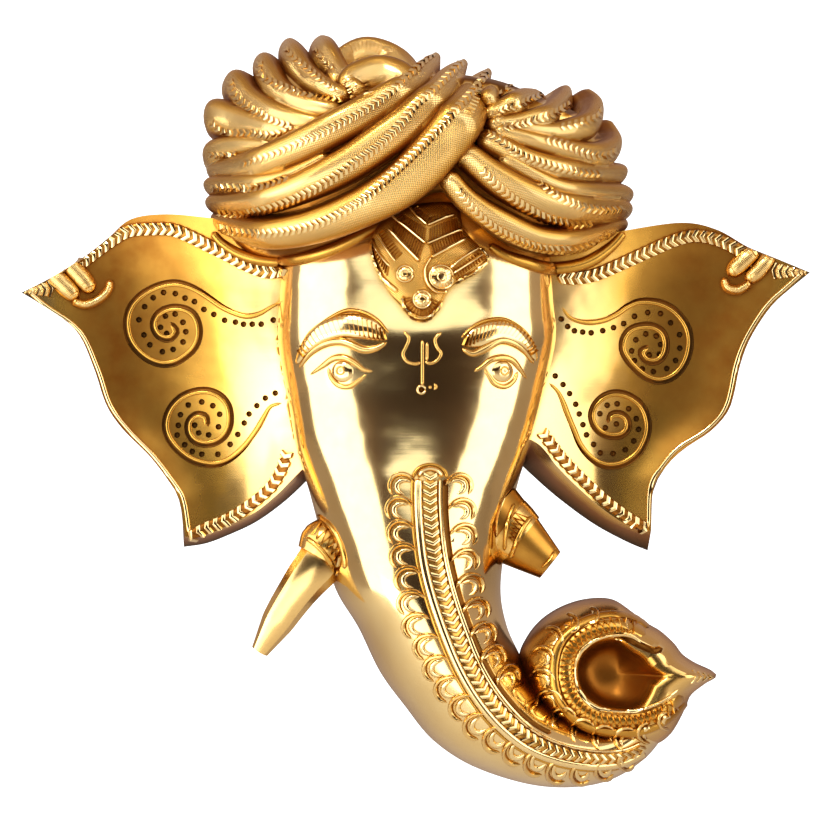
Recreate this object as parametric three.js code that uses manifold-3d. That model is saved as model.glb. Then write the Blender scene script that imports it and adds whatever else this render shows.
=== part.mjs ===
// A cast, polished brass wall mask: an elephant head in a wound turban, with spread ears and a curled
// trunk. It is one hollow casting, open at the back, that hangs flat against a wall.
// Millimetres. +X is to the viewer's right, +Z is up and the wall is the plane y = 0: a depth below is
// the height above the wall, so a point of depth d lies at y = -d. The origin is the nail hole.
import * as THREE from "three";
import { mergeVertices } from "three/addons/utils/BufferGeometryUtils.js";
import Module from "manifold-3d";

const wasm = await Module();
wasm.setup();

// Driving sizes
const WALL = 4; // thickness of the casting
const TURBAN = { x: -1, z: -22, halfWidth: 92, halfUp: 52, halfDown: 60, depth: 78 };
const FOLD_OVER_CORE = 9; // how far the crest of a fold stands over the groove beside it
const HEAD_EDGE = 26; // depth of the line where the face meets the ears
const NAIL_HOLE_RADIUS = 3.5;
const LUG = { width: 30, low: -14, high: 14, thick: 4 };

const at = (x, z, depth) => new THREE.Vector3(x, -depth, z);

// Points at even spacing on a smooth curve through hand-set points
function smooth(points, steps) {
  return new THREE.CatmullRomCurve3(points, false, "catmullrom", 0.5).getSpacedPoints(steps);
}

// A number that follows a list of values set at even spacing, for t from 0 to 1
function along(values, t) {
  const place = Math.min(Math.max(t, 0), 1) * (values.length - 1);
  const low = Math.min(Math.floor(place), values.length - 2);
  return THREE.MathUtils.lerp(values[low], values[low + 1], place - low);
}

// A closed body from points and triangles, whichever way round they were listed
function solidFrom(points, triangles) {
  const geometry = new THREE.BufferGeometry().setFromPoints(points);
  const vertProperties = geometry.getAttribute("position").array;
  const make = (list) =>
    new wasm.Manifold(
      new wasm.Mesh({ numProp: 3, vertProperties, triVerts: new Uint32Array(list.flat()) }),
    );
  const made = make(triangles);
  return made.volume() > 0 ? made : make(triangles.map(([a, b, c]) => [a, c, b]));
}

// A body through closed rings of equal count, ended by a fan to a middle point at each end
function loft(rings, first, last) {
  const count = rings[0].length;
  const points = rings.flat();
  const triangles = [];
  for (let r = 0; r + 1 < rings.length; r++) {
    for (let i = 0; i < count; i++) {
      const a = r * count + i;
      const b = r * count + ((i + 1) % count);
      triangles.push([a, b, a + count], [b, b + count, a + count]);
    }
  }
  const middle = (ring) =>
    ring.reduce((sum, p) => sum.add(p), new THREE.Vector3()).divideScalar(ring.length);
  points.push(first ?? middle(rings[0]), last ?? middle(rings.at(-1)));
  const end = (rings.length - 1) * count;
  for (let i = 0; i < count; i++) {
    const next = (i + 1) % count;
    triangles.push([next, i, points.length - 2], [end + i, end + next, points.length - 1]);
  }
  return solidFrom(points, triangles);
}

// A body under a front grid, with straight sides down to the same grid's rim as it lies in back, and
// a flat back that fans from its middle
function slab(front, back) {
  const rows = front.length;
  const columns = front[0].length;
  const triangles = [];
  for (let r = 0; r + 1 < rows; r++) {
    for (let c = 0; c + 1 < columns; c++) {
      const a = r * columns + c;
      triangles.push([a, a + 1, a + columns], [a + 1, a + columns + 1, a + columns]);
    }
  }
  const rim = [];
  for (let c = 0; c < columns; c++) rim.push([0, c]);
  for (let r = 1; r < rows; r++) rim.push([r, columns - 1]);
  for (let c = columns - 2; c >= 0; c--) rim.push([rows - 1, c]);
  for (let r = rows - 2; r > 0; r--) rim.push([r, 0]);
  const points = [...front.flat(), ...rim.map(([r, c]) => back[r][c])];
  const middle = points.length;
  points.push(back[rows >> 1][columns >> 1]);
  for (let i = 0; i < rim.length; i++) {
    const next = (i + 1) % rim.length;
    const a = rim[i][0] * columns + rim[i][1];
    const b = rim[next][0] * columns + rim[next][1];
    const low = rows * columns + i;
    const lowNext = rows * columns + next;
    triangles.push([b, a, low], [b, low, lowNext], [low, middle, lowNext]);
  }
  return solidFrom(points, triangles);
}

// A three.js geometry, such as a box, as a body
function solidOf(geometry) {
  geometry.deleteAttribute("normal");
  geometry.deleteAttribute("uv");
  const merged = mergeVertices(geometry, 1e-4);
  return new wasm.Manifold(
    new wasm.Mesh({
      numProp: 3,
      vertProperties: merged.getAttribute("position").array,
      triVerts: new Uint32Array(merged.index.array),
    }),
  );
}

const fuse = (bodies) => bodies.reduce((sum, body) => sum.add(body));

// A ridge laid along a crest line. outward(point) gives the way that it stands up. The section is an
// arch of the given width and rise with straight sides that sink into the body, or with no arch a
// plain three-sided one.
function ridge(crest, widths, rise, sink, outward, arch = 3) {
  const rings = crest.map((point, i) => {
    const before = crest[Math.max(i - 1, 0)];
    const after = crest[Math.min(i + 1, crest.length - 1)];
    const forward = after.clone().sub(before).normalize();
    const across = forward.clone().cross(outward(point)).normalize();
    const up = across.clone().cross(forward).normalize();
    const half = along(widths, i / (crest.length - 1)) / 2;
    const high = Math.min(rise, half * 1.3);
    const spot = (side, drop) => point.clone().addScaledVector(across, side).addScaledVector(up, -drop);
    if (arch === 0) {
      const foot = half * 1.5;
      return [spot(-foot, high + sink), spot(0, 0), spot(foot, high + sink)];
    }
    const ring = [spot(-half, high + sink)];
    for (let j = 0; j <= arch; j++) {
      const angle = Math.PI * (j / arch - 0.5);
      ring.push(spot(half * Math.sin(angle), high * (1 - Math.cos(angle))));
    }
    ring.push(spot(half, high + sink));
    return ring;
  });
  return loft(rings);
}

// Turban

// Depth of the fold crests over any place of the turban: a squared dome
function turbanDepth(x, z) {
  const across = Math.abs((x - TURBAN.x) / TURBAN.halfWidth) ** 3;
  const halfHeight = z > TURBAN.z ? TURBAN.halfUp : TURBAN.halfDown;
  const up = Math.abs((z - TURBAN.z) / halfHeight) ** 3;
  return TURBAN.depth * Math.sqrt(Math.max(0.02, 1 - across - up));
}

// The way a fold stands up: away from a line inside the turban
function turbanOutward(point) {
  const inside = at(point.x * 0.62, TURBAN.z + (point.z - TURBAN.z) * 0.5, 6);
  return point.clone().sub(inside).normalize();
}

// Outline of the core that the cloth is wound on, a little inside the folds
const CORE_OUTLINE = [
  [-84, -20], [-83, -2], [-74, 10], [-56, 19], [-34, 23], [-14, 16], [8, 15], [32, 12], [54, 3],
  [70, -4], [79, -18], [82, -35], [80, -50], [68, -60], [46, -61], [28, -52], [12, -36], [0, -38],
  [-16, -46], [-38, -57], [-60, -62], [-80, -53],
];

// Rings of the core from its middle out, then straight back to the wall
function turbanDome(inset, drop, back, count) {
  const middle = { x: 0, z: -20 };
  const outline = new THREE.CatmullRomCurve3(
    CORE_OUTLINE.map(([x, z]) => at(x, z, 0)), true, "catmullrom", 0.5,
  ).getSpacedPoints(count).slice(0, count);
  const ringAt = (share, depthOf) =>
    outline.map((p) => {
      const reach = Math.hypot(p.x - middle.x, p.z - middle.z);
      const scale = (share * (reach - inset)) / reach;
      const x = middle.x + (p.x - middle.x) * scale;
      const z = middle.z + (p.z - middle.z) * scale;
      return at(x, z, depthOf(x, z));
    });
  const dome = (x, z) => turbanDepth(x, z) - drop;
  const rings = [0.4, 0.75, 0.94].map((share) => ringAt(share, dome));
  rings.push(ringAt(1, (x, z) => dome(x, z) * 0.8));
  rings.push(ringAt(1, () => back));
  return loft(rings, at(middle.x, middle.z, dome(middle.x, middle.z)), at(middle.x, middle.z, back));
}

// The rolls of cloth, lowest first. A route runs over the front through [x, z] points, and a third
// number sets the depth where a roll turns back to the wall at the outline.
const FOLDS = [
  // left bun
  { lift: -4, widths: [10, 13, 12, 10], route: [[-91.5, -23.5, 4], [-90.5, -18.5, 26], [-79, -16], [-61, -17]] },
  { lift: -3, widths: [12, 16, 16, 15, 12], route: [[-91, -6, 4], [-90.5, -1.5, 28], [-79, -5], [-63, -10], [-46, -12.5]] },
  { lift: -2, widths: [12, 14, 14, 13, 11], route: [[-84.5, 11, 4], [-81, 12.5, 30], [-73, 3.5], [-59, -4], [-40, -8.5]] },
  { lift: -1, widths: [11, 13, 13, 12, 10], route: [[-70.5, 22.5, 4], [-68.5, 20, 34], [-61.5, 8.5], [-50.5, 1.5], [-33.5, -2.5]] },
  { lift: -1, widths: [11, 13, 13, 12, 9], route: [[-59, 30, 4], [-56.5, 25, 36], [-49.5, 15], [-41, 8.5], [-31, 4]] },
  { lift: -1, widths: [11, 14, 14, 12, 8], route: [[-45, 31.5, 4], [-43, 27, 40], [-37, 17.5], [-31, 11], [-24.5, 6]] },
  { lift: 0, widths: [9, 11, 12, 11, 9], route: [[-33.5, 11], [-27.5, 16], [-17.5, 18.5], [-8.5, 15], [-3.5, 8.5]] },
  { lift: 1, widths: [9, 12, 13, 12, 9], route: [[-35.5, 14.5], [-33, 23.5, 44], [-23.5, 29, 40], [-12, 24.5, 42], [-3.5, 15]] },
  // right bun
  { lift: -4, widths: [5, 9, 10, 8], route: [[40.5, 12, 6], [37, 10, 34], [32, 6.5], [24.5, 0]] },
  { lift: -4, widths: [5, 10, 12, 11, 9], route: [[56.5, 7.5, 5], [53, 6.5, 30], [43.5, 4], [35.5, 0.5], [25, -5]] },
  { lift: -3, widths: [8, 11, 12, 11, 9], route: [[64.5, 10, 4], [63.5, 5, 28], [56, -2.5], [43, -6.5], [27.5, -8.5]] },
  { lift: -3, widths: [9, 11, 12, 12, 10, 9], route: [[72, 9, 4], [77.5, 3, 20], [73, -6], [59, -10.5], [44, -9.5], [28.5, -6.5]] },
  { lift: -2, widths: [9, 12, 13, 12, 10, 9], route: [[81, -4, 4], [85.5, -13.5, 20], [78, -19.5], [63, -18.5], [48, -14.5], [30, -10]] },
  { lift: -1, widths: [9, 12, 12, 11, 10], route: [[88, -26, 4], [85.5, -27.5, 24], [67, -27.5], [46, -22.5], [24.5, -12]] },
  { lift: -1, widths: [9, 11, 11, 10, 8], route: [[90.5, -37, 4], [87.5, -36.5, 24], [71.5, -36], [55.5, -33], [33.5, -21]] },
  { lift: 1, widths: [10, 13, 15, 15, 14, 11], route: [[90, -43.5, 4], [86.5, -43.5, 24], [69.5, -43.5], [52.5, -40.5], [33.5, -31], [16, -17]] },
  { lift: 2, widths: [9, 11, 12, 12, 12, 11, 9], route: [[88, -49.5, 4], [84, -51, 22], [67, -56.5], [50.5, -56], [33.5, -48.5], [20, -39.5], [10, -27.5]] },
  // the swath wound across the front from the three pointed tops
  { lift: 1, widths: [8, 10, 11, 10, 7], route: [[-91, -33.5, 4], [-89.5, -32.5, 26], [-73.5, -32.5], [-56.5, -30], [-38, -21]] },
  { lift: 3, widths: [3, 9, 14, 15, 15, 15, 14, 12, 10], route: [[7.5, 25.5, 6], [3.5, 20, 42], [-4, 10], [-18.5, 1], [-37, -9], [-54.5, -18], [-72, -24.5], [-88, -26, 26], [-90.5, -26, 4]] },
  { lift: 5, widths: [3, 8, 14, 16, 16, 15, 13, 12, 11, 9], route: [[19.5, 22.5, 6], [15, 17, 46], [8.5, 6.5], [-3.5, -5], [-17, -15], [-32, -25], [-50.5, -34], [-69.5, -40], [-88, -40.5, 26], [-90.5, -40.5, 4]] },
  { lift: 7, widths: [3, 9, 16, 20, 20, 17, 15, 14, 12, 10], route: [[30, 18.5, 6], [26, 12, 46], [20, -1], [9, -16], [-6.5, -32], [-26, -43.5], [-48, -51.5], [-69, -54], [-85.5, -49.5, 26], [-88, -47, 4]] },
];

function turbanSolids() {
  const solids = [turbanDome(0, FOLD_OVER_CORE, 0, 26)];
  for (const fold of FOLDS) {
    const crest = fold.route.map(([x, z, depth]) => at(x, z, depth ?? turbanDepth(x, z) + fold.lift));
    const steps = fold.route.length + 1;
    solids.push(ridge(smooth(crest, steps), fold.widths, 6.5, 9, turbanOutward));
  }
  return solids;
}

// Face and trunk

// Stations down the head: left edge, right edge, depth of the ridge, depth of the edges
const HEAD = [
  { left: [-48.5, -36], right: [48.5, -36], ridge: 56, edge: 24 },
  { left: [-56.5, -56.5], right: [54, -56.5], ridge: 60, edge: 25 },
  { left: [-59, -80], right: [56, -80], ridge: 61, edge: HEAD_EDGE },
  { left: [-59.5, -98.5], right: [57, -96.5], ridge: 61, edge: HEAD_EDGE },
  { left: [-55.5, -122], right: [51.5, -121], ridge: 62, edge: HEAD_EDGE },
  { left: [-52, -142], right: [46, -141], ridge: 64, edge: HEAD_EDGE },
  { left: [-46.5, -160.5], right: [40.5, -159.5], ridge: 67, edge: 25 },
  { left: [-41, -181.5], right: [36.5, -179.5], ridge: 70, edge: 22 },
  { left: [-35.5, -201.5], right: [34, -201], ridge: 72, edge: 20 },
  { left: [-26, -217.5], right: [36.5, -216.5], ridge: 72, edge: 18 },
  { left: [-17, -236], right: [42, -229], ridge: 71, edge: 18 },
  { left: [-6.5, -250.5], right: [47, -237.5], ridge: 70, edge: 18 },
  { left: [6, -265.5], right: [54, -245.5], ridge: 68, edge: 18 },
  { left: [24.5, -277], right: [61.5, -250.5], ridge: 65, edge: 18 },
  { left: [51.5, -284.5], right: [70.5, -253.5], ridge: 61, edge: 18 },
  { left: [76.5, -283], right: [78, -254.5], ridge: 57, edge: 18 },
  { left: [95, -272.5], right: [85.5, -251], ridge: 53, edge: 18 },
  { left: [107.5, -256], right: [92.5, -245.5], ridge: 49, edge: 18 },
];

// Rings of the head, drawn in by inset at each side and by drop from the front, over back
function headRings(steps, arch, inset, drop, back) {
  const values = (pick) => HEAD.map(pick);
  const curve = (key) =>
    new THREE.CatmullRomCurve3(values((s) => at(s[key][0], s[key][1], 0)), false, "catmullrom", 0.5);
  const lefts = curve("left");
  const rights = curve("right");
  const rings = [];
  for (let i = 0; i <= steps; i++) {
    const t = i / steps;
    const left = lefts.getPoint(t);
    const right = rights.getPoint(t);
    const middle = left.clone().lerp(right, 0.5);
    const reach = left.distanceTo(right) / 2;
    const across = right.clone().sub(middle).normalize();
    const top = along(values((s) => s.ridge), t) - drop;
    const edge = along(values((s) => s.edge), t) - drop;
    const half = reach - inset;
    const spot = (side, depth) => {
      const p = middle.clone().addScaledVector(across, half * side);
      return at(p.x, p.z, depth);
    };
    const ring = [spot(-1, back)];
    for (let j = 0; j <= arch; j++) {
      const angle = Math.PI * (j / arch - 0.5);
      ring.push(spot(Math.sin(angle), edge + (top - edge) * Math.cos(angle) ** 0.9));
    }
    ring.push(spot(1, back));
    rings.push(ring);
  }
  return rings;
}

// Curl at the trunk's tip: rings round the bowl, each [reach, depth], from the bowl out to the wall
const CURL = { x: 82.5, z: -236.5, wide: 38, high: 31, tipAngle: 0.02, tipReach: 0.1, tipSpread: 0.22 };
const CURL_RINGS = [
  [0.3, 42], [0.46, 45], [0.54, 56], [0.6, 58], [0.74, 58], [0.86, 51], [0.97, 40], [1, 30], [1, 0],
];

function curlRing(share, depth, count) {
  const ring = [];
  for (let i = 0; i < count; i++) {
    const angle = (i / count) * 2 * Math.PI;
    const turn = Math.atan2(Math.sin(angle - CURL.tipAngle), Math.cos(angle - CURL.tipAngle));
    const point = 1 + CURL.tipReach * Math.exp(-((turn / CURL.tipSpread) ** 2)) * share ** 2;
    const x = CURL.x + CURL.wide * share * point * Math.cos(angle);
    const z = CURL.z + CURL.high * share * point * Math.sin(angle);
    ring.push(at(x, z, depth));
  }
  return ring;
}

function curlSolid() {
  const rings = CURL_RINGS.map(([share, depth]) => curlRing(share, depth, 20));
  return loft(rings, at(CURL.x, CURL.z, 41), at(CURL.x, CURL.z, 0));
}

// Ears

// Outlines of each ear: top from the head to the tip, outer from the tip to the lower corner, and
// bottom from the head to the lower corner, at the front and, flared, at the wall.
const LEFT_EAR = {
  top: [[-41, -51], [-67, -48], [-90, -45], [-107.5, -43.5], [-122, -45.5], [-131, -53], [-140.5, -60.5], [-154.5, -69.5], [-168, -76.5]],
  outer: [[-168, -76.5], [-159, -82], [-145, -92.5], [-137.5, -108.5], [-132.5, -123.5], [-125.5, -134], [-114, -145.5], [-106, -156], [-101.5, -164], [-99, -179.5]],
  bottom: [[-39.5, -141], [-53, -154.5], [-60.5, -162], [-70, -169.5], [-80.5, -174.5], [-91.5, -179], [-99, -179.5]],
  flare: [[-39.5, -147], [-51, -159], [-59.5, -166.5], [-69.5, -173.5], [-80, -178.5], [-90.5, -182.5], [-100, -184]],
};
const RIGHT_EAR = {
  top: [[42, -54.5], [67, -54.5], [86, -50.5], [110.5, -47], [125.5, -50], [138, -57], [149, -61.5], [164.5, -68]],
  outer: [[164.5, -68], [156, -75], [148, -82.5], [139.5, -95.5], [135, -107.5], [132.5, -119.5], [129.5, -127.5], [122, -135.5], [110.5, -143], [103, -151], [98.5, -158.5], [97.5, -177]],
  bottom: [[38.5, -135], [50, -140.5], [57.5, -149.5], [67, -159], [77.5, -168], [87.5, -174.5], [97.5, -177]],
  flare: [[37, -143.5], [48.5, -154.5], [59.5, -164], [74, -174.5], [88, -182], [96.5, -185.5]],
};

// Depth across an ear, from the head out to the edge, and how much it lifts towards top and bottom
const EAR_DISH = [24, 28, 26, 19, 13, 12, 14];
const EAR_LIFT = 2;
const earDepth = (u, v) => along(EAR_DISH, u) + EAR_LIFT * (2 * v - 1) ** 2;

// A sheet stretched between four edges that share their corners
function sheet(edges, u, v) {
  const head = edges.top[0].clone().lerp(edges.bottom[0], v);
  const outer = pick(edges.outer, v);
  const top = pick(edges.top, u);
  const bottom = pick(edges.bottom, u);
  const corners = edges.top[0].clone().lerp(edges.top.at(-1), u)
    .lerp(edges.bottom[0].clone().lerp(edges.bottom.at(-1), u), v);
  return top.lerp(bottom, v).add(head.lerp(outer, u)).sub(corners);
}

function pick(line, t) {
  const place = Math.min(Math.max(t, 0), 1) * (line.length - 1);
  const low = Math.min(Math.floor(place), line.length - 2);
  return line[low].clone().lerp(line[low + 1], place - low);
}

const flat = (points) => smooth(points.map(([x, z]) => at(x, z, 0)), 48);

function earGrid(ear, bottom, range, steps, depthOf) {
  const outer = ear.outer.map((p, i) => (i === ear.outer.length - 1 ? bottom.at(-1) : p));
  const edges = { top: flat(ear.top), outer: flat(outer), bottom: flat(bottom) };
  const grid = [];
  for (let i = 0; i <= steps[0]; i++) {
    const row = [];
    for (let j = 0; j <= steps[1]; j++) {
      const u = THREE.MathUtils.lerp(range.u[0], range.u[1], i / steps[0]);
      const v = THREE.MathUtils.lerp(range.v[0], range.v[1], j / steps[1]);
      const p = sheet(edges, u, v);
      row.push(at(p.x, p.z, depthOf(u, v)));
    }
    grid.push(row);
  }
  return grid;
}

const WHOLE = { u: [0, 1], v: [0, 1] };
const INSIDE = { u: [0, 0.94], v: [0.05, 0.95] };

function earSolid(ear) {
  const steps = [9, 7];
  return slab(
    earGrid(ear, ear.bottom, WHOLE, steps, earDepth),
    earGrid(ear, ear.flare, WHOLE, steps, () => 0),
  );
}

// The hollow behind an ear, carried on under the face so that no web is left between them
function earHollow(ear, inward) {
  const steps = [6, 4];
  const front = earGrid(ear, ear.bottom, INSIDE, steps, (u, v) => earDepth(u, v) - WALL);
  const back = earGrid(ear, ear.bottom, INSIDE, steps, () => -2);
  for (const grid of [front, back]) grid[0].forEach((p) => (p.x += inward));
  return slab(front, back);
}

// Relief laid on the finished forms

// The forms that the relief lies on, as three.js meshes that a ray from the front can meet
function groundOf(solids) {
  return solids.map((solid) => {
    const mesh = solid.getMesh();
    const geometry = new THREE.BufferGeometry();
    geometry.setAttribute("position", new THREE.BufferAttribute(mesh.vertProperties, 3));
    geometry.setIndex(new THREE.BufferAttribute(mesh.triVerts, 1));
    return new THREE.Mesh(geometry, new THREE.MeshBasicMaterial());
  });
}

const ray = new THREE.Raycaster();
const INTO_WALL = new THREE.Vector3(0, 1, 0);

function frontDepth(ground, x, z) {
  ray.set(at(x, z, 200), INTO_WALL);
  const hit = ray.intersectObjects(ground, false)[0];
  return hit ? -hit.point.y : 0;
}

const toViewer = () => new THREE.Vector3(0, -1, 0);

// The way the ground faces at a place, from its depth a little to each side
function facing(ground, x, z) {
  const step = 2.5;
  const rise = (dx, dz) => {
    const gap = frontDepth(ground, x + dx, z + dz) - frontDepth(ground, x - dx, z - dz);
    return THREE.MathUtils.clamp(gap / (2 * step), -1.6, 1.6);
  };
  return new THREE.Vector3(-rise(step, 0), -1, -rise(0, step)).normalize();
}

// A raised line over the forms below it, proud of them by high
function line(ground, route, width, high, steps, arch = 0) {
  const crest = smooth(route.map(([x, z]) => at(x, z, 0)), steps).map((p) =>
    at(p.x, p.z, frontDepth(ground, p.x, p.z)).addScaledVector(facing(ground, p.x, p.z), high),
  );
  const widths = Array.isArray(width) ? width : [width, width];
  return ridge(crest, widths, high, 2, (p) => facing(ground, p.x, p.z), arch);
}

// A low boss: a cone whose foot is sunk in the body, or with a shoulder a rounder one
function boss(ground, x, z, radius, high, sides = 6, shoulder = false) {
  const up = facing(ground, x, z);
  const foot = at(x, z, frontDepth(ground, x, z));
  const across = new THREE.Vector3(1, 0, 0).cross(up).normalize();
  const along3 = up.clone().cross(across);
  const ringAt = (reach, rise) => {
    const ring = [];
    for (let i = 0; i < sides; i++) {
      const angle = (i / sides) * 2 * Math.PI;
      const p = foot.clone().addScaledVector(up, rise);
      p.addScaledVector(across, reach * Math.cos(angle));
      ring.push(p.addScaledVector(along3, reach * Math.sin(angle)));
    }
    return ring;
  };
  const rings = [ringAt(radius * 1.15, -1.5)];
  if (shoulder) rings.push(ringAt(radius * 0.8, high * 0.7));
  return loft(rings, undefined, foot.clone().addScaledVector(up, high));
}

// A spiral of turns, from its outer end in
function spiralRoute(x, z, radius, turns, startAngle, handed) {
  const route = [];
  const count = Math.round(turns * 6);
  for (let i = 0; i <= count; i++) {
    const t = i / count;
    const angle = startAngle + handed * t * turns * 2 * Math.PI;
    const r = radius * (1 - 0.82 * t);
    route.push([x + r * Math.cos(angle), z + r * Math.sin(angle)]);
  }
  return route;
}

// Ear ornament: twisted rope along the top, a band along the bottom, two spirals and a knot
const EAR_LINES = [
  // ropes
  { route: [[-49, -65], [-56, -67.5], [-71.5, -65.5], [-89, -56.5], [-97.5, -53], [-107, -48.5], [-121.5, -49.5], [-130.5, -54], [-141, -61.5]], width: 4.5, high: 2.2, steps: 9 },
  { route: [[55, -69.5], [64.5, -71], [78.5, -67.5], [92.5, -61.5], [106.5, -54.5], [117.5, -53], [127, -55.5], [138, -61]], width: 4.5, high: 2.2, steps: 8 },
  // lower bands
  { route: [[-56.5, -146.5], [-62, -158], [-68, -164], [-75, -169], [-83, -173.5], [-92.5, -177]], width: 4.5, high: 1.4, steps: 4 },
  { route: [[52, -137], [59.5, -146], [69.5, -156], [78.5, -164.5], [88, -171], [95, -174.5]], width: 4.5, high: 1.4, steps: 4 },
];
const EAR_SPIRALS = [
  { centre: [-108, -89.5], radius: 17.5, turns: 1.4, start: 0.9, handed: 1 },
  { centre: [-93.5, -133.5], radius: 15.5, turns: 1.4, start: 0.9, handed: 1 },
  { centre: [99, -97], radius: 16.5, turns: 1.4, start: 2.3, handed: -1 },
  { centre: [84, -134.5], radius: 14.5, turns: 1.4, start: 2.3, handed: -1 },
];
const EAR_KNOTS = [
  { route: [[-156, -64.5], [-148.5, -70.5], [-140.5, -75], [-132.5, -81]], width: 8 },
  { route: [[-150.5, -79], [-148, -71.5], [-143, -64]], width: 8 },
  { route: [[150.5, -59], [143, -64.5], [136, -70.5], [128.5, -75]], width: 8 },
  { route: [[146, -71.5], [143.5, -64.5], [138, -58]], width: 8 },
];

function earRelief(ground) {
  const solids = EAR_LINES.map((l) => line(ground, l.route, l.width, l.high, l.steps));
  for (const s of EAR_SPIRALS) {
    const route = spiralRoute(s.centre[0], s.centre[1], s.radius, s.turns, s.start, s.handed);
    solids.push(line(ground, route, 2, 1, route.length - 1));
  }
  for (const k of EAR_KNOTS) solids.push(line(ground, k.route, k.width, 4.5, 3, 2));
  return solids;
}

// Brows, eyes and the mark between them
const BROWS = [
  { route: [[-50.5, -107.5], [-46, -100], [-38.5, -93], [-29.5, -90.5], [-20, -93], [-15, -97]], widths: [2, 5.5, 8, 9.5, 9, 4] },
  { route: [[48, -106], [43.5, -98.5], [37, -93.5], [28.5, -93], [21, -96], [17.5, -99]], widths: [2, 5.5, 8.5, 9.5, 9, 4] },
];
const LIDS = [
  [[-45.5, -111], [-40, -107.5], [-35.5, -103.5], [-31, -103.5], [-26, -106.5], [-20, -110]],
  [[-38, -109], [-36.5, -114], [-31, -117], [-25.5, -114], [-22.5, -111.5]],
  [[22.5, -110], [27.5, -106.5], [32.5, -103.5], [37, -103.5], [40.5, -107], [45, -113]],
  [[28, -109], [30, -113.5], [34.5, -117], [38.5, -114], [40.5, -111.5]],
];
const EYES = [[-31.5, -109.5], [34, -110]];

function faceRelief(ground) {
  const solids = BROWS.map((b) => line(ground, b.route, b.widths, 2, 6, 2));
  for (const lid of LIDS) solids.push(line(ground, lid, 1.8, 1.2, 3));
  for (const [x, z] of EYES) solids.push(boss(ground, x, z, 6, 2, 6, true));
  return solids;
}

// Forehead ornament: a pointed leaf with chevron ridges, three bosses and a pair of small wings
const LEAF = [
  [-12, -43.5], [-20.5, -58], [-14.5, -74], [-8.5, -81.5], [0.5, -88.5], [8, -83], [13.5, -74], [28.5, -64], [18.5, -51], [13.5, -39.5],
];
const LEAF_MIDDLE = [2, -59];
const LEAF_RIDGES = [
  [[-4, -43], [3.5, -50.5], [13.5, -45]],
  [[-10, -46], [2.5, -57.5], [18, -52]],
  [[-12, -50.5], [-1, -64], [9, -62], [19, -55.5]],
  [[-18.5, -57], [-13.5, -68], [-9, -76.5]],
  [[12, -67], [18.5, -64], [24.5, -59.5]],
  [[16, -71], [22.5, -68], [28, -62.5]],
];
const LEAF_BOSSES = [
  { centre: [-6.5, -69.5], radius: 4.2 },
  { centre: [9, -71], radius: 5.5 },
  { centre: [0.5, -81], radius: 4.2 },
];

function ornamentSolids(ground) {
  const rim = LEAF.map(([x, z]) => at(x, z, frontDepth(ground, x, z) + 1.5));
  const foot = rim.map((p) => at(p.x, p.z, -p.y - 6));
  const inner = rim.map((p) => {
    const x = THREE.MathUtils.lerp(p.x, LEAF_MIDDLE[0], 0.3);
    const z = THREE.MathUtils.lerp(p.z, LEAF_MIDDLE[1], 0.3);
    return at(x, z, frontDepth(ground, x, z) + 4);
  });
  const top = at(...LEAF_MIDDLE, frontDepth(ground, ...LEAF_MIDDLE) + 5);
  const plate = loft([foot, rim, inner], undefined, top);
  const onPlate = groundOf([plate]);
  const solids = [plate];
  for (const route of LEAF_RIDGES) solids.push(line(onPlate, route, 3.4, 1.6, route.length - 1, 0));
  for (const b of LEAF_BOSSES) solids.push(boss(onPlate, ...b.centre, b.radius, 3.5, 6, true));
  return solids;
}

// Trunk ornament: a raised band down the middle, with a row of scales along each side
const BAND = [
  [4, -151], [4, -168], [6.5, -187], [9.5, -203.5], [14.5, -219], [22, -234], [31, -248], [43, -259.5], [56.5, -267], [74, -270],
  [90.5, -269], [102.5, -262],
];
const SCALES_LEFT = [
  [-7.5, -157], [-9, -169], [-8, -179], [-6.5, -190], [-4, -204], [0, -218.5], [6, -232], [15, -246], [26, -259], [40, -269],
  [55.5, -275.5], [72, -277.5], [86.5, -273],
];
const SCALES_RIGHT = [
  [17, -157], [17.5, -169], [19, -182.5], [20.5, -199.5], [24, -214], [29.5, -229], [37, -243], [48, -254.5], [61.5, -262], [78, -265],
  [94, -263], [106, -254.5],
];
const SCALES_CURL = [[77.5, -208.5], [65.5, -211], [56, -216.5], [50.5, -226], [48, -237.5], [51, -248.5]];
const SCALE = { half: 7, wide: 10, narrow: 5, high: 2.6 }; // half is half a scale's length

function trunkRelief(ground) {
  const solids = [line(ground, BAND, 9, 2.4, 17, 1)];
  const rows = [SCALES_LEFT, SCALES_RIGHT, SCALES_CURL];
  for (const row of rows) {
    const curve = new THREE.CatmullRomCurve3(row.map(([x, z]) => at(x, z, 0)), false, "catmullrom", 0.5);
    const steps = Math.round(curve.getLength() / SCALE.half);
    const widths = Array.from({ length: steps + 1 }, (_, i) => (i % 2 ? SCALE.wide : SCALE.narrow));
    solids.push(line(ground, row, widths, SCALE.high, steps));
  }
  return solids;
}

// Tusks, each with a hatched collar at its root
const TUSKS = [
  { route: [[-36, -175.5, 36], [-46, -196, 38], [-55.5, -212.5, 36], [-67, -227.5, 33]], widths: [18, 14.5, 12, 7], collar: [[-38, -171.5, 38], [-41, -185.5, 40]], collarWidths: [16, 22] },
  { route: [[33.5, -167, 36], [43.5, -182.5, 38], [52.5, -193, 37]], widths: [18, 16, 14], collar: [[35, -165, 40], [42.5, -180, 40]], collarWidths: [24, 19] },
];

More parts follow.
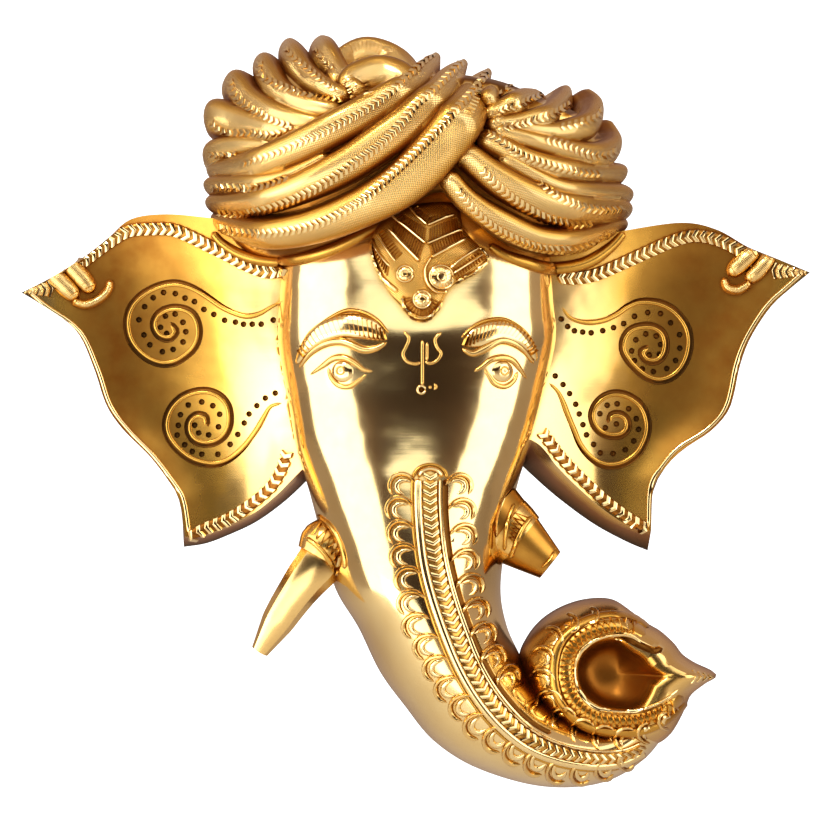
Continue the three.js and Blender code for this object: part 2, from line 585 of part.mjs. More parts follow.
function round(route, widths, sides, steps) {
  const line3 = smooth(route.map(([x, z, depth]) => at(x, z, depth)), steps);
  const rings = line3.map((p, i) => {
    const forward = line3[Math.min(i + 1, steps)].clone().sub(line3[Math.max(i - 1, 0)]).normalize();
    const across = forward.clone().cross(toViewer()).normalize();
    const up = across.clone().cross(forward).normalize();
    const half = along(widths, i / steps) / 2;
    const ring = [];
    for (let j = 0; j < sides; j++) {
      const angle = (j / sides) * 2 * Math.PI;
      const spot = p.clone().addScaledVector(across, half * Math.cos(angle));
      ring.push(spot.addScaledVector(up, half * Math.sin(angle)));
    }
    return ring;
  });
  return loft(rings);
}

function tuskSolids() {
  return TUSKS.flatMap((tusk) => [
    round(tusk.route, tusk.widths, 7, 4),
    round(tusk.collar, tusk.collarWidths, 7, 2),
  ]);
}

// The hollow behind the outer forms. The head's part starts up inside the turban's, so that they are
// one space.
function hollow() {
  const head = headRings(11, 6, WALL, WALL, -2);
  head[0].forEach((p) => (p.z += 16));
  return fuse([
    turbanDome(WALL, FOLD_OVER_CORE + WALL, -2, 14),
    loft(head),
    earHollow(LEFT_EAR, 24),
    earHollow(RIGHT_EAR, -24),
    loft([curlRing(0.86, 36, 12), curlRing(0.86, -2, 12)]),
  ]);
}

function lugSolid() {
  const { width, low, high, thick } = LUG;
  const plate = new THREE.BoxGeometry(width, thick, high - low);
  plate.translate(0, -thick / 2, (high + low) / 2);
  const drill = new THREE.CylinderGeometry(NAIL_HOLE_RADIUS, NAIL_HOLE_RADIUS, thick * 3, 16);
  return solidOf(plate).subtract(solidOf(drill));
}

// The casting: outer forms, less the hollow behind them, with the lug it hangs by
function casting() {
  const head = loft(headRings(20, 9, 0, 0, 0));
  const forms = [head, curlSolid(), earSolid(LEFT_EAR), earSolid(RIGHT_EAR)];
  const ground = groundOf(forms);
  const solids = [
    ...forms,
    ...turbanSolids(),
    ...tuskSolids(),
    ...earRelief(ground),
    ...faceRelief(ground),
    ...ornamentSolids(ground),
    ...trunkRelief(ground),
  ];
  const behindWall = new THREE.BoxGeometry(500, 20, 500).translate(0, 10, -120);
  const open = fuse(solids).subtract(hollow()).subtract(solidOf(behindWall));
  // Where forms cross, a bubble of no use can be left inside the metal: the largest body has none
  const bodies = open.add(lugSolid()).decompose();
  return bodies.reduce((most, body) => (body.volume() > most.volume() ? body : most));
}

const brass = new THREE.MeshStandardMaterial({ color: 0xd9b45b, metalness: 1, roughness: 0.22 });

function geometryOf(solid) {
  const mesh = solid.getMesh();
  const geometry = new THREE.BufferGeometry();
  geometry.setAttribute("position", new THREE.BufferAttribute(mesh.vertProperties, 3));
  geometry.setIndex(new THREE.BufferAttribute(mesh.triVerts, 1));
  geometry.computeVertexNormals();
  return geometry;
}

const mask = new THREE.Mesh(geometryOf(casting()), brass);
mask.name = "mask_casting";

const model = new THREE.Group();
model.add(mask);

export default model;
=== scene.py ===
import bpy
import numpy as np
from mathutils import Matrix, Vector


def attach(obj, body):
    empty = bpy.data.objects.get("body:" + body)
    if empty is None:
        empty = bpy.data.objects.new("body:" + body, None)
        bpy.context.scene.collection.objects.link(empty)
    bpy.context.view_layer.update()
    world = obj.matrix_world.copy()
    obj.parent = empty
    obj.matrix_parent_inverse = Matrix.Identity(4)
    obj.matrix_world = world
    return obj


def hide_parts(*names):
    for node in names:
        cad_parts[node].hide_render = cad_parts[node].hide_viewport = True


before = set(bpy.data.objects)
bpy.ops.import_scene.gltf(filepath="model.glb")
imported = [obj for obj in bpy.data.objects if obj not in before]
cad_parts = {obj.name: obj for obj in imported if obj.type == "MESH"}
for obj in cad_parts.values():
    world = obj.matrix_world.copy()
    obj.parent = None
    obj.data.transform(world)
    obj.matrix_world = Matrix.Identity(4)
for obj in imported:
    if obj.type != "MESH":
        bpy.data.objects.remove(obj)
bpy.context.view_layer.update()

MM = 0.001


# Camera
# The photograph was taken straight on, from far enough away that the ears and the turban show no
# sides, so a long lens looks along +Y.
PHOTO_SIDE = 828 * 0.42  # the photograph's side, at 0.42 mm of the mask a pixel
PHOTO_CENTRE = (-2.5, -127.7)
CAMERA_DISTANCE = 3500
OUTLINE_DEPTH = 30  # depth of the ears and the turban's edge, where the scale holds
SENSOR = 36


def put_camera():
    """A lens whose view at the outline's depth is as wide as the photograph."""
    lens = bpy.data.cameras.new("camera")
    lens.sensor_width = SENSOR
    lens.lens = SENSOR * (CAMERA_DISTANCE - OUTLINE_DEPTH) / PHOTO_SIDE
    lens.clip_end = 100  # metres
    camera = bpy.data.objects.new("camera", lens)
    camera.location = (PHOTO_CENTRE[0] * MM, -CAMERA_DISTANCE * MM, PHOTO_CENTRE[1] * MM)
    camera.rotation_euler = (np.pi / 2, 0, 0)
    bpy.context.scene.collection.objects.link(camera)
    bpy.context.scene.camera = camera


put_camera()


# Turban
# Cloth wound in rolls over two buns, modelled in the wax and cast in one with the head. The rolls lie on
# a domed core and sink into it.
TURBAN = {"x": -1, "z": -22, "half_width": 92, "half_up": 52, "half_down": 60, "depth": 78}
HEART = (0.62, 0.5, 6)  # what a roll stands away from: share of its x, share of its way up, depth
ROLL_OVER_CORE = 9
CORE_POLISH_AND_SHADE = 1.5  # painted shade between the rolls, with dark polish left there
CORE_OUTLINE = [
    (-84, -20), (-83, -2), (-74, 10), (-56, 19), (-34, 23), (-14, 16), (8, 15), (32, 12), (54, 3), (70, -4),
    (79, -18), (82, -35), (80, -50), (68, -60), (46, -61), (28, -52), (12, -36), (0, -38), (-16, -46),
    (-38, -57), (-60, -62), (-80, -53),
]
CORE_MIDDLE = np.array([0, -20])
CORE_RINGS = [(share, 1) for share in np.linspace(0.04, 0.94, 16)] + [(0.97, 0.93), (1, 0.8)]


def at(x, z, depth):
    """Points in the mask's frame, from their place seen from the front and their depth."""
    x, z, depth = np.broadcast_arrays(x, z, depth)
    return np.stack([x, -depth, z], axis=-1).astype(float)


def unit(vectors):
    """Vectors divided by their own lengths."""
    return vectors / np.maximum(np.linalg.norm(vectors, axis=-1, keepdims=True), 1e-9)


def along(values, t):
    """A number that follows a list of values set at even spacing, on straight lines between them."""
    return np.interp(np.clip(t, 0, 1), np.linspace(0, 1, len(values)), values)


def spline(points, t, closed=False):
    """A smooth curve through points, at t from 0 to 1: in each span, the cubic whose slope at a point
    is half the step between that point's two neighbours."""
    p = np.asarray(points, float).reshape(len(points), -1)
    p = np.vstack([p[-1:], p, p[:2]] if closed else [2 * p[0] - p[1], p, 2 * p[-1] - p[-2]])
    spans = len(p) - 3
    place = np.clip(t, 0, 1) * spans
    k = np.minimum(place.astype(int), spans - 1)
    u = (place - k)[:, None]
    a, b, c, d = p[k], p[k + 1], p[k + 2], p[k + 3]
    return 0.5 * (2 * b + (c - a) * u + (2 * a - 5 * b + 4 * c - d) * u**2 + (3 * b - a - 3 * c + d) * u**3)


def smooth(points, steps, closed=False):
    """Points at even distances on the smooth curve through given ones."""
    curve = spline(points, np.linspace(0, 1, 30 * len(points) + 1), closed)
    run = np.concatenate([[0], np.cumsum(np.linalg.norm(np.diff(curve, axis=0), axis=1))])
    goal = np.linspace(0, run[-1], steps + 1)
    goal = goal[:-1] if closed else goal
    return np.stack([np.interp(goal, run, curve[:, i]) for i in range(curve.shape[1])], axis=1)


def length(points):
    """Length of the smooth curve through given points."""
    return np.linalg.norm(np.diff(spline(points, np.linspace(0, 1, 30 * len(points))), axis=0), axis=1).sum()


def body(points, triangles, marks=None):
    """A closed body, turned so that its signed volume, the sum of the triangles' tetrahedra with the
    origin, is positive. marks holds, for each point, mm along and across a roll, how much it is hatched
    and how much its colour is darkened, as dark polish and painted shade."""
    a, b, c = (points[triangles[:, i]] for i in range(3))
    if np.einsum("ij,ij->", a, np.cross(b, c)) < 0:
        triangles = triangles[:, ::-1]
    if marks is None:
        marks = np.zeros((len(points), 4))
    return {"points": points, "triangles": triangles, "marks": marks}


def loft(rings, first=None, last=None, marks=None):
    """A closed skin through rings of equal count, ended by a fan to a middle point at each end."""
    rings = np.asarray(rings)
    count, size = rings.shape[:2]
    ends = [rings[0].mean(0) if first is None else first, rings[-1].mean(0) if last is None else last]
    points = np.vstack([rings.reshape(-1, 3), ends])
    row, column = (v.ravel() for v in np.meshgrid(np.arange(count - 1), np.arange(size), indexing="ij"))
    a = row * size + column
    b = row * size + (column + 1) % size
    i = np.arange(size)
    j = (i + 1) % size
    end = (count - 1) * size
    pole = np.full(size, count * size)
    triangles = np.vstack([
        np.stack([a, b, a + size], 1), np.stack([b, b + size, a + size], 1),
        np.stack([j, i, pole], 1), np.stack([end + i, end + j, pole + 1], 1),
    ])
    if marks is not None:
        marks = np.vstack([marks.reshape(-1, 4), marks[0].mean(0), marks[-1].mean(0)])
    return body(points, triangles, marks)


def gather(bodies):
    """Several bodies listed as one."""
    starts = np.cumsum([0] + [len(b["points"]) for b in bodies[:-1]])
    return {
        "points": np.vstack([b["points"] for b in bodies]),
        "triangles": np.vstack([b["triangles"] + s for b, s in zip(bodies, starts)]),
        "marks": np.vstack([b["marks"] for b in bodies]),
    }


def darkening_marks(amounts, count):
    """Marks that only say how much each ring's colour is darkened."""
    marks = np.zeros((len(amounts), count, 4))
    marks[..., 3] = np.asarray(amounts)[:, None]
    return marks


def turban_depth(x, z):
    """Depth of the rolls' crests: a dome whose outline is a squared oval, by cubes in place of squares."""
    across = np.abs((x - TURBAN["x"]) / TURBAN["half_width"]) ** 3
    half = np.where(z > TURBAN["z"], TURBAN["half_up"], TURBAN["half_down"])
    up = np.abs((z - TURBAN["z"]) / half) ** 3
    return TURBAN["depth"] * np.sqrt(np.maximum(0.02, 1 - across - up))


def turban_outward(points):
    """The way a roll stands up: away from a line inside the turban, its heart."""
    inside = at(points[:, 0] * HEART[0], TURBAN["z"] + (points[:, 2] - TURBAN["z"]) * HEART[1], HEART[2])
    return unit(points - inside)


def turban_core(inset, drop, back, count):
    """The core that the cloth is wound on: rings of the outline drawn in towards the middle, raised to
    the dome less drop, then straight back to the wall."""
    outline = smooth(CORE_OUTLINE, count, closed=True)
    reach = np.linalg.norm(outline - CORE_MIDDLE, axis=1, keepdims=True)

    def ring(share, lowered):
        x, z = (CORE_MIDDLE + (outline - CORE_MIDDLE) * share * (reach - inset) / reach).T
        return at(x, z, back if lowered == 0 else (turban_depth(x, z) - drop) * lowered)

    rings = [ring(share, lowered) for share, lowered in [*CORE_RINGS, (1, 0)]]
    middle = at(*CORE_MIDDLE, turban_depth(*CORE_MIDDLE) - drop)
    return loft(rings, middle, at(*CORE_MIDDLE, back), darkening_marks(np.full(len(rings), CORE_POLISH_AND_SHADE), count))


# The rolls, lowest first, by their crests: x, z and, where a roll turns back to the wall, its depth.
# Elsewhere the crest lies on the dome, lifted by the first value. widths follow a roll evenly.
LEFT_BUN = [
    (-4, [10, 13, 12, 10], [(-91.5, -23.5, 4), (-90.5, -18.5, 26), (-79, -16), (-61, -17)]),
    (-3, [12, 16, 16, 15, 12], [(-91, -6, 4), (-90.5, -1.5, 28), (-79, -5), (-63, -10), (-46, -12.5)]),
    (-2, [12, 14, 14, 13, 11], [(-84.5, 11, 4), (-81, 12.5, 30), (-73, 3.5), (-59, -4), (-40, -8.5)]),
    (-1, [11, 13, 13, 12, 10], [
        (-70.5, 22.5, 4), (-68.5, 20, 34), (-61.5, 8.5), (-50.5, 1.5), (-33.5, -2.5),
    ]),
    (-1, [11, 13, 13, 12, 9], [(-59, 30, 4), (-56.5, 25, 36), (-49.5, 15), (-41, 8.5), (-31, 4)]),
    (-1, [11, 14, 14, 12, 8], [(-45, 31.5, 4), (-43, 27, 40), (-37, 17.5), (-31, 11), (-24.5, 6)]),
    (0, [12, 17, 19, 17, 12], [(-32.5, 8.5), (-26, 12.5), (-17.5, 14.5), (-9.5, 12.5), (-4.5, 7)]),
    (1, [11, 14, 15, 14, 11], [
        (-35.5, 14.5), (-32.5, 22, 44), (-23.5, 26.5, 41), (-12.5, 23, 43), (-4, 14.5),
    ]),
]
RIGHT_BUN = [
    (-4, [9, 13, 13, 10], [(39.5, 10, 6), (37, 8.5, 34), (32, 5.5), (26, 0)]),
    (-4, [10, 14, 15, 13, 10], [(54, 6, 5), (51.5, 5, 30), (43.5, 2.5), (35.5, -1), (27, -5)]),
    (-3, [8, 11, 12, 11, 9], [(64.5, 10, 4), (63.5, 5, 28), (56, -2.5), (43, -6.5), (27.5, -8.5)]),
    (-3, [9, 11, 12, 12, 10, 9], [
        (72, 9, 4), (77.5, 3, 20), (73, -6), (59, -10.5), (44, -9.5), (28.5, -6.5),
    ]),
    (-2, [9, 12, 13, 12, 10, 9], [
        (81, -4, 4), (85.5, -13.5, 20), (78, -19.5), (63, -18.5), (48, -14.5), (30, -10),
    ]),
    (-1, [9, 12, 12, 11, 10], [(88, -26, 4), (85.5, -27.5, 24), (67, -27.5), (46, -22.5), (24.5, -12)]),
    (-1, [9, 11, 11, 10, 8], [(90.5, -37, 4), (87.5, -36.5, 24), (71.5, -36), (55.5, -33), (33.5, -21)]),
    (1, [10, 13, 15, 15, 14, 11], [
        (90, -43.5, 4), (86.5, -43.5, 24), (69.5, -43.5), (52.5, -40.5), (33.5, -31), (16, -17),
    ]),
    (2, [9, 11, 12, 12, 12, 11, 9], [
        (88, -49.5, 4), (84, -51, 22), (67, -56.5), (50.5, -56), (33.5, -48.5), (20, -39.5), (10, -27.5),
    ]),
]
SWATHS = [
    (1, [8, 10, 11, 10, 7], [(-91, -33.5, 4), (-89.5, -32.5, 26), (-73.5, -32.5), (-56.5, -30), (-38, -21)]),
    (3, [3, 9, 14, 15, 15, 15, 14, 12, 10], [
        (7.5, 25.5, 6), (3.5, 20, 42), (-4, 10), (-18.5, 1), (-37, -9), (-54.5, -18), (-72, -24.5),
        (-88, -26, 26), (-90.5, -26, 4),
    ]),
    (5, [3, 8, 14, 16, 16, 15, 13, 12, 11, 9], [
        (19.5, 22.5, 6), (15, 17, 46), (8.5, 6.5), (-3.5, -5), (-17, -15), (-32, -25), (-50.5, -34),
        (-69.5, -40), (-88, -40.5, 26), (-90.5, -40.5, 4),
    ]),
    (7, [3, 9, 16, 20, 20, 17, 15, 14, 12, 10], [
        (30, 18.5, 6), (26, 12, 46), (20, -1), (9, -16), (-6.5, -32), (-26, -43.5), (-48, -51.5),
        (-69, -54), (-85.5, -49.5, 26), (-88, -47, 4),
    ]),
]
ROLL_RISE = 6.5
ROLL_TALLEST = 1.3  # of half its width
ROLL_SINK = 9
ROLL_STEP = 2  # mm between rings
ROLL_ARCH = 13
ROLL_PUSH = 0.3
ROLL_END = 0.96  # how far the quarter circles at its ends go down
VALLEY_POLISH_AND_SHADE = 1.3  # painted shade at a roll's foot, with dark polish left there
UPPER_SIDE_SHADE = 0.5  # painted shade on a roll's upper side
UPPER_FADE = 0.6  # how much the hatching fades there
UPPER_SPREAD = 0.3  # of half its width, from the crest to the upper side


def roll_frame(roll):
    """Where a roll runs: at each ring its crest, the ways forward, across and up, half its width and its
    height over its straight sides. Towards both ends it narrows and drops as a quarter of a circle."""
    lift, widths, route = roll
    crest = [at(p[0], p[1], p[2] if len(p) > 2 else turban_depth(*p) + lift) for p in route]
    steps = max(6, int(length(crest) / ROLL_STEP))
    crest = smooth(crest, steps)
    forward = unit(np.gradient(crest, axis=0))
    across = unit(np.cross(forward, turban_outward(crest)))
    up = np.cross(across, forward)
    half = along(widths, np.linspace(0, 1, steps + 1)) / 2
    high = np.minimum(ROLL_RISE, half * ROLL_TALLEST)
    run = np.concatenate([[0], np.cumsum(np.linalg.norm(np.diff(crest, axis=0), axis=1))])
    from_end = np.clip(np.minimum(run, run[-1] - run) / half, 0, 1)
    full = np.sqrt(1 - ROLL_END * (1 - from_end) ** 2)
    crest = crest - up * (high * (1 - full))[:, None]
    return {
        "run": run, "crest": crest, "forward": forward, "across": across, "up": up,
        "half": half * full, "high": high * full, "upper": np.sign(across[steps // 2, 2]),
    }


def roll_body(roll):
    """A roll: at each ring half an ellipse, half wide to each side and high tall, on straight sides that
    sink into the core. Its crest is pushed towards the upper side by the square of the ellipse's height.
    Painted shade, with dark polish, grows from the crest down by the power 1.4 of the fall, and more
    painted shade lies on the upper side."""
    laid = roll_frame(roll)
    angle = np.linspace(-np.pi / 2, np.pi / 2, ROLL_ARCH)
    push = ROLL_PUSH * laid["upper"] * np.cos(angle) ** 2
    side = np.concatenate([[-1], np.sin(angle) + push, [1]])
    fall = 1 - np.cos(angle)
    half, high = laid["half"][:, None], laid["high"][:, None]
    foot = high + ROLL_SINK
    drop = np.hstack([foot, high * fall, foot])
    outward = laid["across"][:, None] * (half * side)[..., None]
    rings = laid["crest"][:, None] + outward - laid["up"][:, None] * drop[..., None]
    over = np.clip((side * laid["upper"] - ROLL_PUSH) / UPPER_SPREAD, 0, 1)
    # painted shade grows down the flanks to the foot, with dark polish there, and lies on the upper side
    polish_and_shade = VALLEY_POLISH_AND_SHADE * np.concatenate([[1], fall, [1]]) ** 1.4 + UPPER_SIDE_SHADE * over
    marks = [laid["run"][:, None], half * side, 1 - UPPER_FADE * over, polish_and_shade.clip(0, 1)]
    return loft(rings, marks=np.stack(np.broadcast_arrays(*marks), -1))


turban = [turban_core(inset=0, drop=ROLL_OVER_CORE, back=0, count=120)]
turban += [roll_body(roll) for roll in LEFT_BUN + RIGHT_BUN + SWATHS]


# Face and trunk
# The elephant's forehead, cheeks and trunk are one bulging form that narrows to the trunk, swings to
# the viewer's right and turns up into the curl.
HEAD = [
    # left edge, right edge, depth of the ridge, depth of the edges
    ((-42, -22), (42, -22), 44, 22),
    ((-48.5, -36), (48.5, -36), 51, 24),
    ((-56.5, -56.5), (54, -56.5), 56, 25),
    ((-59, -80), (56, -80), 59.5, 26),
    ((-59.5, -98.5), (57, -96.5), 62, 26),
    ((-55.5, -122), (51.5, -121), 62, 26),
    ((-52, -142), (46, -141), 64, 26),
    ((-46.5, -160.5), (40.5, -159.5), 67, 25),
    ((-41, -181.5), (36.5, -179.5), 70, 22),
    ((-35.5, -201.5), (34, -201), 72, 20),
    ((-26, -217.5), (36.5, -216.5), 72, 18),
    ((-17, -236), (42, -229), 71, 18),
    ((-6.5, -250.5), (47, -237.5), 70, 18),
    ((6, -265.5), (54, -245.5), 68, 18),
    ((24.5, -277), (61.5, -250.5), 65, 18),
    ((51.5, -284.5), (70.5, -253.5), 61, 18),
    ((76.5, -283), (78, -254.5), 57, 18),
    ((95, -272.5), (85.5, -251), 53, 18),
    ((107.5, -256), (92.5, -245.5), 49, 18),
]


def head_rings(steps, arch, inset, drop, back):
    """Rings of the head: across from edge to edge, the depth rises from the edges' to the ridge's by a
    cosine to the power 0.9. inset draws the sides in and drop lowers the front."""
    t = np.linspace(0, 1, steps + 1)
    left, right = (spline([s[i] for s in HEAD], t) for i in (0, 1))
    top, edge = (spline([s[i] for s in HEAD], t)[:, :1] - drop for i in (2, 3))
    middle = (left + right) / 2
    across = unit(right - middle)
    half = np.linalg.norm(right - left, axis=1, keepdims=True) / 2 - inset
    angle = np.linspace(-np.pi / 2, np.pi / 2, arch + 1)[None]
    side = np.concatenate([[-1], np.sin(angle[0]), [1]])[None]
    depth = edge + (top - edge) * np.cos(angle).clip(0) ** 0.9
    flank = np.full((steps + 1, 1), back)
    depth = np.hstack([flank, depth, flank])
    place = middle[:, None] + across[:, None] * (half * side)[..., None]
    return at(place[..., 0], place[..., 1], depth)


head = loft(head_rings(steps=150, arch=56, inset=0, drop=0, back=0))


# Curl
# The trunk's tip is wound into an oval cup with a thick rim and a small point to the right.
CURL_MIDDLE = np.array([82.5, -236.5])
CURL_OUTLINE = [
    (42, -230.6), (44.8, -222.8), (50.4, -215.5), (58.2, -210), (67.1, -206.6), (76, -205.5),
    (82.7, -206.6), (89.4, -211.1), (96.1, -216.1), (101.7, -219.4), (106.7, -223.9), (110.6, -228.9),
    (116.2, -232.8), (124.7, -237.3), (119.5, -241.2), (113.9, -245.7), (111.7, -250.7), (108.4, -257.4),
    (105, -262.4), (99.5, -266.3), (89.4, -268.5), (78.2, -268), (67.1, -265.2), (57, -259.6),
    (49.2, -251.8), (44.2, -242.9),
]
CURL_SECTION = [
    # share of the outline, depth
    (0.04, 41), (0.12, 41.1), (0.2, 41.4), (0.26, 41.9), (0.31, 42.6), (0.35, 43.6), (0.38, 44.8),
    (0.41, 46.8), (0.43, 49), (0.465, 55), (0.49, 57.3), (0.53, 58.2), (0.62, 58.3), (0.72, 57.6),
    (0.8, 55), (0.86, 51), (0.92, 45.8), (0.97, 39.5), (1, 30), (1, 0),
]
# Painted shade on the curl, with dark polish, ring by ring: darkest on the cup's floor and down the sides to
# the wall, lightest round the lip.
CURL_POLISH_AND_SHADE = [1.1, 1.1, 1.1, 1.1, 1.1, 1, 1, 0.9, 0.9, 0.6, 0.5, 0.5, 0.4, 0.3, 0.3, 0.35, 0.5, 0.8, 1, 1]
CURL_COUNT = 130
BLUNT = {"reach": 31, "share": 0.6}
SLOPE = {"share": 0.6, "rise": 16.5, "lip": 0.5}


def curl_ring(share, depth, count, slope=0):
    """A ring of the curl: its outline drawn in towards the middle. Near the middle the outline's point
    is blunted to a reach of its own. Where a slope is given, the cup's right side keeps at least its
    depth, by the square of (1 + cosine) / 2."""
    ray = smooth(CURL_OUTLINE, count, closed=True) - CURL_MIDDLE
    reach = np.linalg.norm(ray, axis=1)[:, None]
    blunt = max(1 - share / BLUNT["share"], 0)
    ray = unit(ray) * (reach - blunt * np.maximum(reach - BLUNT["reach"], 0))
    place = CURL_MIDDLE + ray * share
    right = np.clip(0.5 + 0.5 * unit(ray)[:, 0], 0, 1) ** 2
    return at(*place.T, depth + right * max(slope - depth, 0))


def cup_slope(share):
    """Depth of the cup's open right side: its floor and a rise by the power 1.6 of the way to the lip."""
    if share >= SLOPE["share"]:
        return 0
    return CURL_SECTION[0][1] + SLOPE["rise"] * min(share / SLOPE["lip"], 1) ** 1.6


def curl_body():
    """The curl: its rings from the cup's floor over the lip and down to the wall."""
    rings = [curl_ring(share, depth, CURL_COUNT, cup_slope(share)) for share, depth in CURL_SECTION]
    floor_middle, back_middle = (at(*CURL_MIDDLE, CURL_SECTION[end][1]) for end in (0, -1))
    return loft(rings, floor_middle, back_middle, darkening_marks(CURL_POLISH_AND_SHADE, CURL_COUNT))


curl = curl_body()


# Ears
# Each ear is a dished sheet that springs from the side of the head and ends in a pointed, knotted tip.
# Its lower edge has a plain side that shows from the front and flares from bottom to flare, at the wall.
LEFT_EAR = {"top": [
    (-41, -51), (-67, -48), (-90, -45), (-107.5, -43.5), (-122, -45.5), (-131, -53), (-140.5, -60.5),
    (-154.5, -69.5), (-168, -76.5),
], "outer": [
    (-168, -76.5), (-159, -82), (-145, -92.5), (-137.5, -108.5), (-132.5, -123.5), (-125.5, -134),
    (-114, -145.5), (-106, -156), (-101.5, -164), (-99, -179.5),
], "bottom": [
    (-39.5, -141), (-53, -154.5), (-60.5, -162), (-70, -169.5), (-80.5, -174.5), (-91.5, -179),
    (-99, -179.5),
], "flare": [
    (-39.5, -147), (-51, -159), (-59.5, -166.5), (-69.5, -173.5), (-80, -178.5), (-90.5, -182.5),
    (-100, -184),
]}
RIGHT_EAR = {"top": [
    (42, -54.5), (67, -54.5), (86, -50.5), (110.5, -47), (125.5, -50), (138, -57), (149, -61.5),
    (164.5, -68),
], "outer": [
    (164.5, -68), (156, -75), (148, -82.5), (139.5, -95.5), (135, -107.5), (132.5, -119.5), (129.5, -127.5),
    (122, -135.5), (110.5, -143), (103, -151), (98.5, -158.5), (97.5, -177),
], "bottom": [
    (38.5, -135), (50, -140.5), (57.5, -149.5), (67, -159), (77.5, -168), (87.5, -174.5), (97.5, -177),
], "flare": [(37, -143.5), (48.5, -154.5), (59.5, -164), (74, -174.5), (88, -182), (96.5, -185.5)]}
EAR_DISH = [31.5, 26.8, 21.5, 16, 12.6, 12, 14]  # depth from the head out to the edge
EAR_LIFT = 2  # how much the dish lifts towards its top and bottom
EAR_STEPS = (54, 38)
EAR_HOLLOW_SPANS = ((0, 0.94), (0.05, 0.95), (24, 16))  # along the ear, down it, steps
WALL = 4


def ear_depth(u, v):
    """Depth of an ear at u from the head to the edge and v from top to bottom: the dish, lifted by the
    square of the distance from its middle line."""
    return spline(np.array(EAR_DISH)[:, None], u.ravel()).reshape(u.shape) + EAR_LIFT * (2 * v - 1) ** 2


def ear_grid(ear, bottom, u_span, v_span, steps, depth_of):
    """A sheet stretched between four edges: the blend of top and bottom, plus that of head and outer
    edge, less that of the four corners."""
    edges = (ear["top"], ear["outer"][:-1] + [bottom[-1]], bottom)
    top, outer, bottom = (smooth(edge, 48) for edge in edges)
    u, v = np.meshgrid(
        np.linspace(*u_span, steps[0] + 1), np.linspace(*v_span, steps[1] + 1), indexing="ij",
    )

    def pick(line, t):
        at_t = np.linspace(0, 1, len(line))
        return np.stack([np.interp(t, at_t, line[:, i]) for i in (0, 1)], -1)

    def blend(a, b, t):
        return a * (1 - t[..., None]) + b * t[..., None]

    across = blend(pick(top, u), pick(bottom, u), v)
    down = blend(blend(top[0], bottom[0], v), pick(outer, v), u)
    corners = blend(blend(top[0], top[-1], u), blend(bottom[0], bottom[-1], u), v)
    place = across + down - corners
    return at(place[..., 0], place[..., 1], depth_of(u, v))


def slab(front, back):
    """A closed body from a front grid and a back grid of the same count, joined round their rims."""
    rows, columns = front.shape[:2]
    cells = rows * columns
    index = np.arange(cells).reshape(rows, columns)
    a, b, c, d = (v.ravel() for v in (index[:-1, :-1], index[:-1, 1:], index[1:, 1:], index[1:, :-1]))
    rim = np.concatenate([index[0], index[1:, -1], index[-1, -2::-1], index[-2:0:-1, 0]])
    after = np.roll(rim, -1)
    triangles = np.vstack([
        np.stack([a, b, c], 1), np.stack([a, c, d], 1),
        np.stack([c, b, a], 1) + cells, np.stack([d, c, a], 1) + cells,
        np.stack([after, rim, rim + cells], 1), np.stack([after, rim + cells, after + cells], 1),
    ])
    return body(np.vstack([front.reshape(-1, 3), back.reshape(-1, 3)]), triangles)


def ear_body(ear):
    """An ear's dish from the front, on sides that flare to its lower edge at the wall."""
    spans = ((0, 1), (0, 1), EAR_STEPS)
    front = ear_grid(ear, ear["bottom"], *spans, ear_depth)
    back = ear_grid(ear, ear["flare"], *spans, lambda u, v: np.zeros_like(u))
    return slab(front, back)


def ear_hollow(ear, inward):
    """The hollow behind an ear, carried on under the face by inward."""
    front = ear_grid(ear, ear["bottom"], *EAR_HOLLOW_SPANS, lambda u, v: ear_depth(u, v) - WALL)
    back = ear_grid(ear, ear["bottom"], *EAR_HOLLOW_SPANS, lambda u, v: np.full_like(u, -BEHIND))
    front[0, :, 0] += inward
    back[0, :, 0] += inward
    return slab(front, back)


ears = [ear_body(LEFT_EAR), ear_body(RIGHT_EAR)]


# Tusks
# The tusk on the viewer's left is whole and the other is a broken stub. Each comes out of a collar.
TUSKS = [
    {"route": [
        (-36, -178, 36), (-41, -188.8, 38), (-48.3, -198, 38), (-56.7, -210, 36), (-67.3, -227.3, 33),
    ], "widths": [21, 20, 16.6, 14, 7.4], "sides": 8,
     "collar": [(-34, -175, 37), (-38, -182.5, 38.5), (-41.5, -188.5, 39)],
     "collar_widths": [17, 24, 25.4, 22], "kept": 0.25},
    {"route": [(30, -171.4, 35), (38, -177.8, 36), (54.6, -191, 37)], "widths": [32, 27, 20.6, 14],
     "sides": 30, "collar": [(35, -175.4, 36), (39, -178.6, 36), (42, -181, 36.3)],
     "collar_widths": [29.4, 28, 25.8], "kept": 0.8},
]
TUSK_FLAT = 0.8  # how thick a tusk is for its width
TUSK_STEPS = 26
COLLAR = (30, 8, 0.4)  # sides, steps and how much the colour is darkened
TO_VIEWER = np.array([0, -1, 0])


def round_bar(route, widths, sides, steps, kept):
    """A bar: flattened circles of the given widths square to a smooth curve, with its colour darkened by an
    amount.
    """
    crest = smooth([at(*p) for p in route], steps)
    forward = unit(np.gradient(crest, axis=0))
    across = unit(np.cross(forward, np.broadcast_to(TO_VIEWER, forward.shape)))
    up = np.cross(across, forward) * TUSK_FLAT
    half = along(widths, np.linspace(0, 1, steps + 1))[:, None, None] / 2
    angle = np.linspace(0, 2 * np.pi, sides, endpoint=False)[None, :, None]
    rings = crest[:, None] + half * (across[:, None] * np.cos(angle) + up[:, None] * np.sin(angle))
    return loft(rings, marks=darkening_marks(np.full(steps + 1, kept), sides))


tusks = [round_bar(t["route"], t["widths"], t["sides"], TUSK_STEPS, t["kept"]) for t in TUSKS]
tusks += [round_bar(t["collar"], t["collar_widths"], *COLLAR) for t in TUSKS]


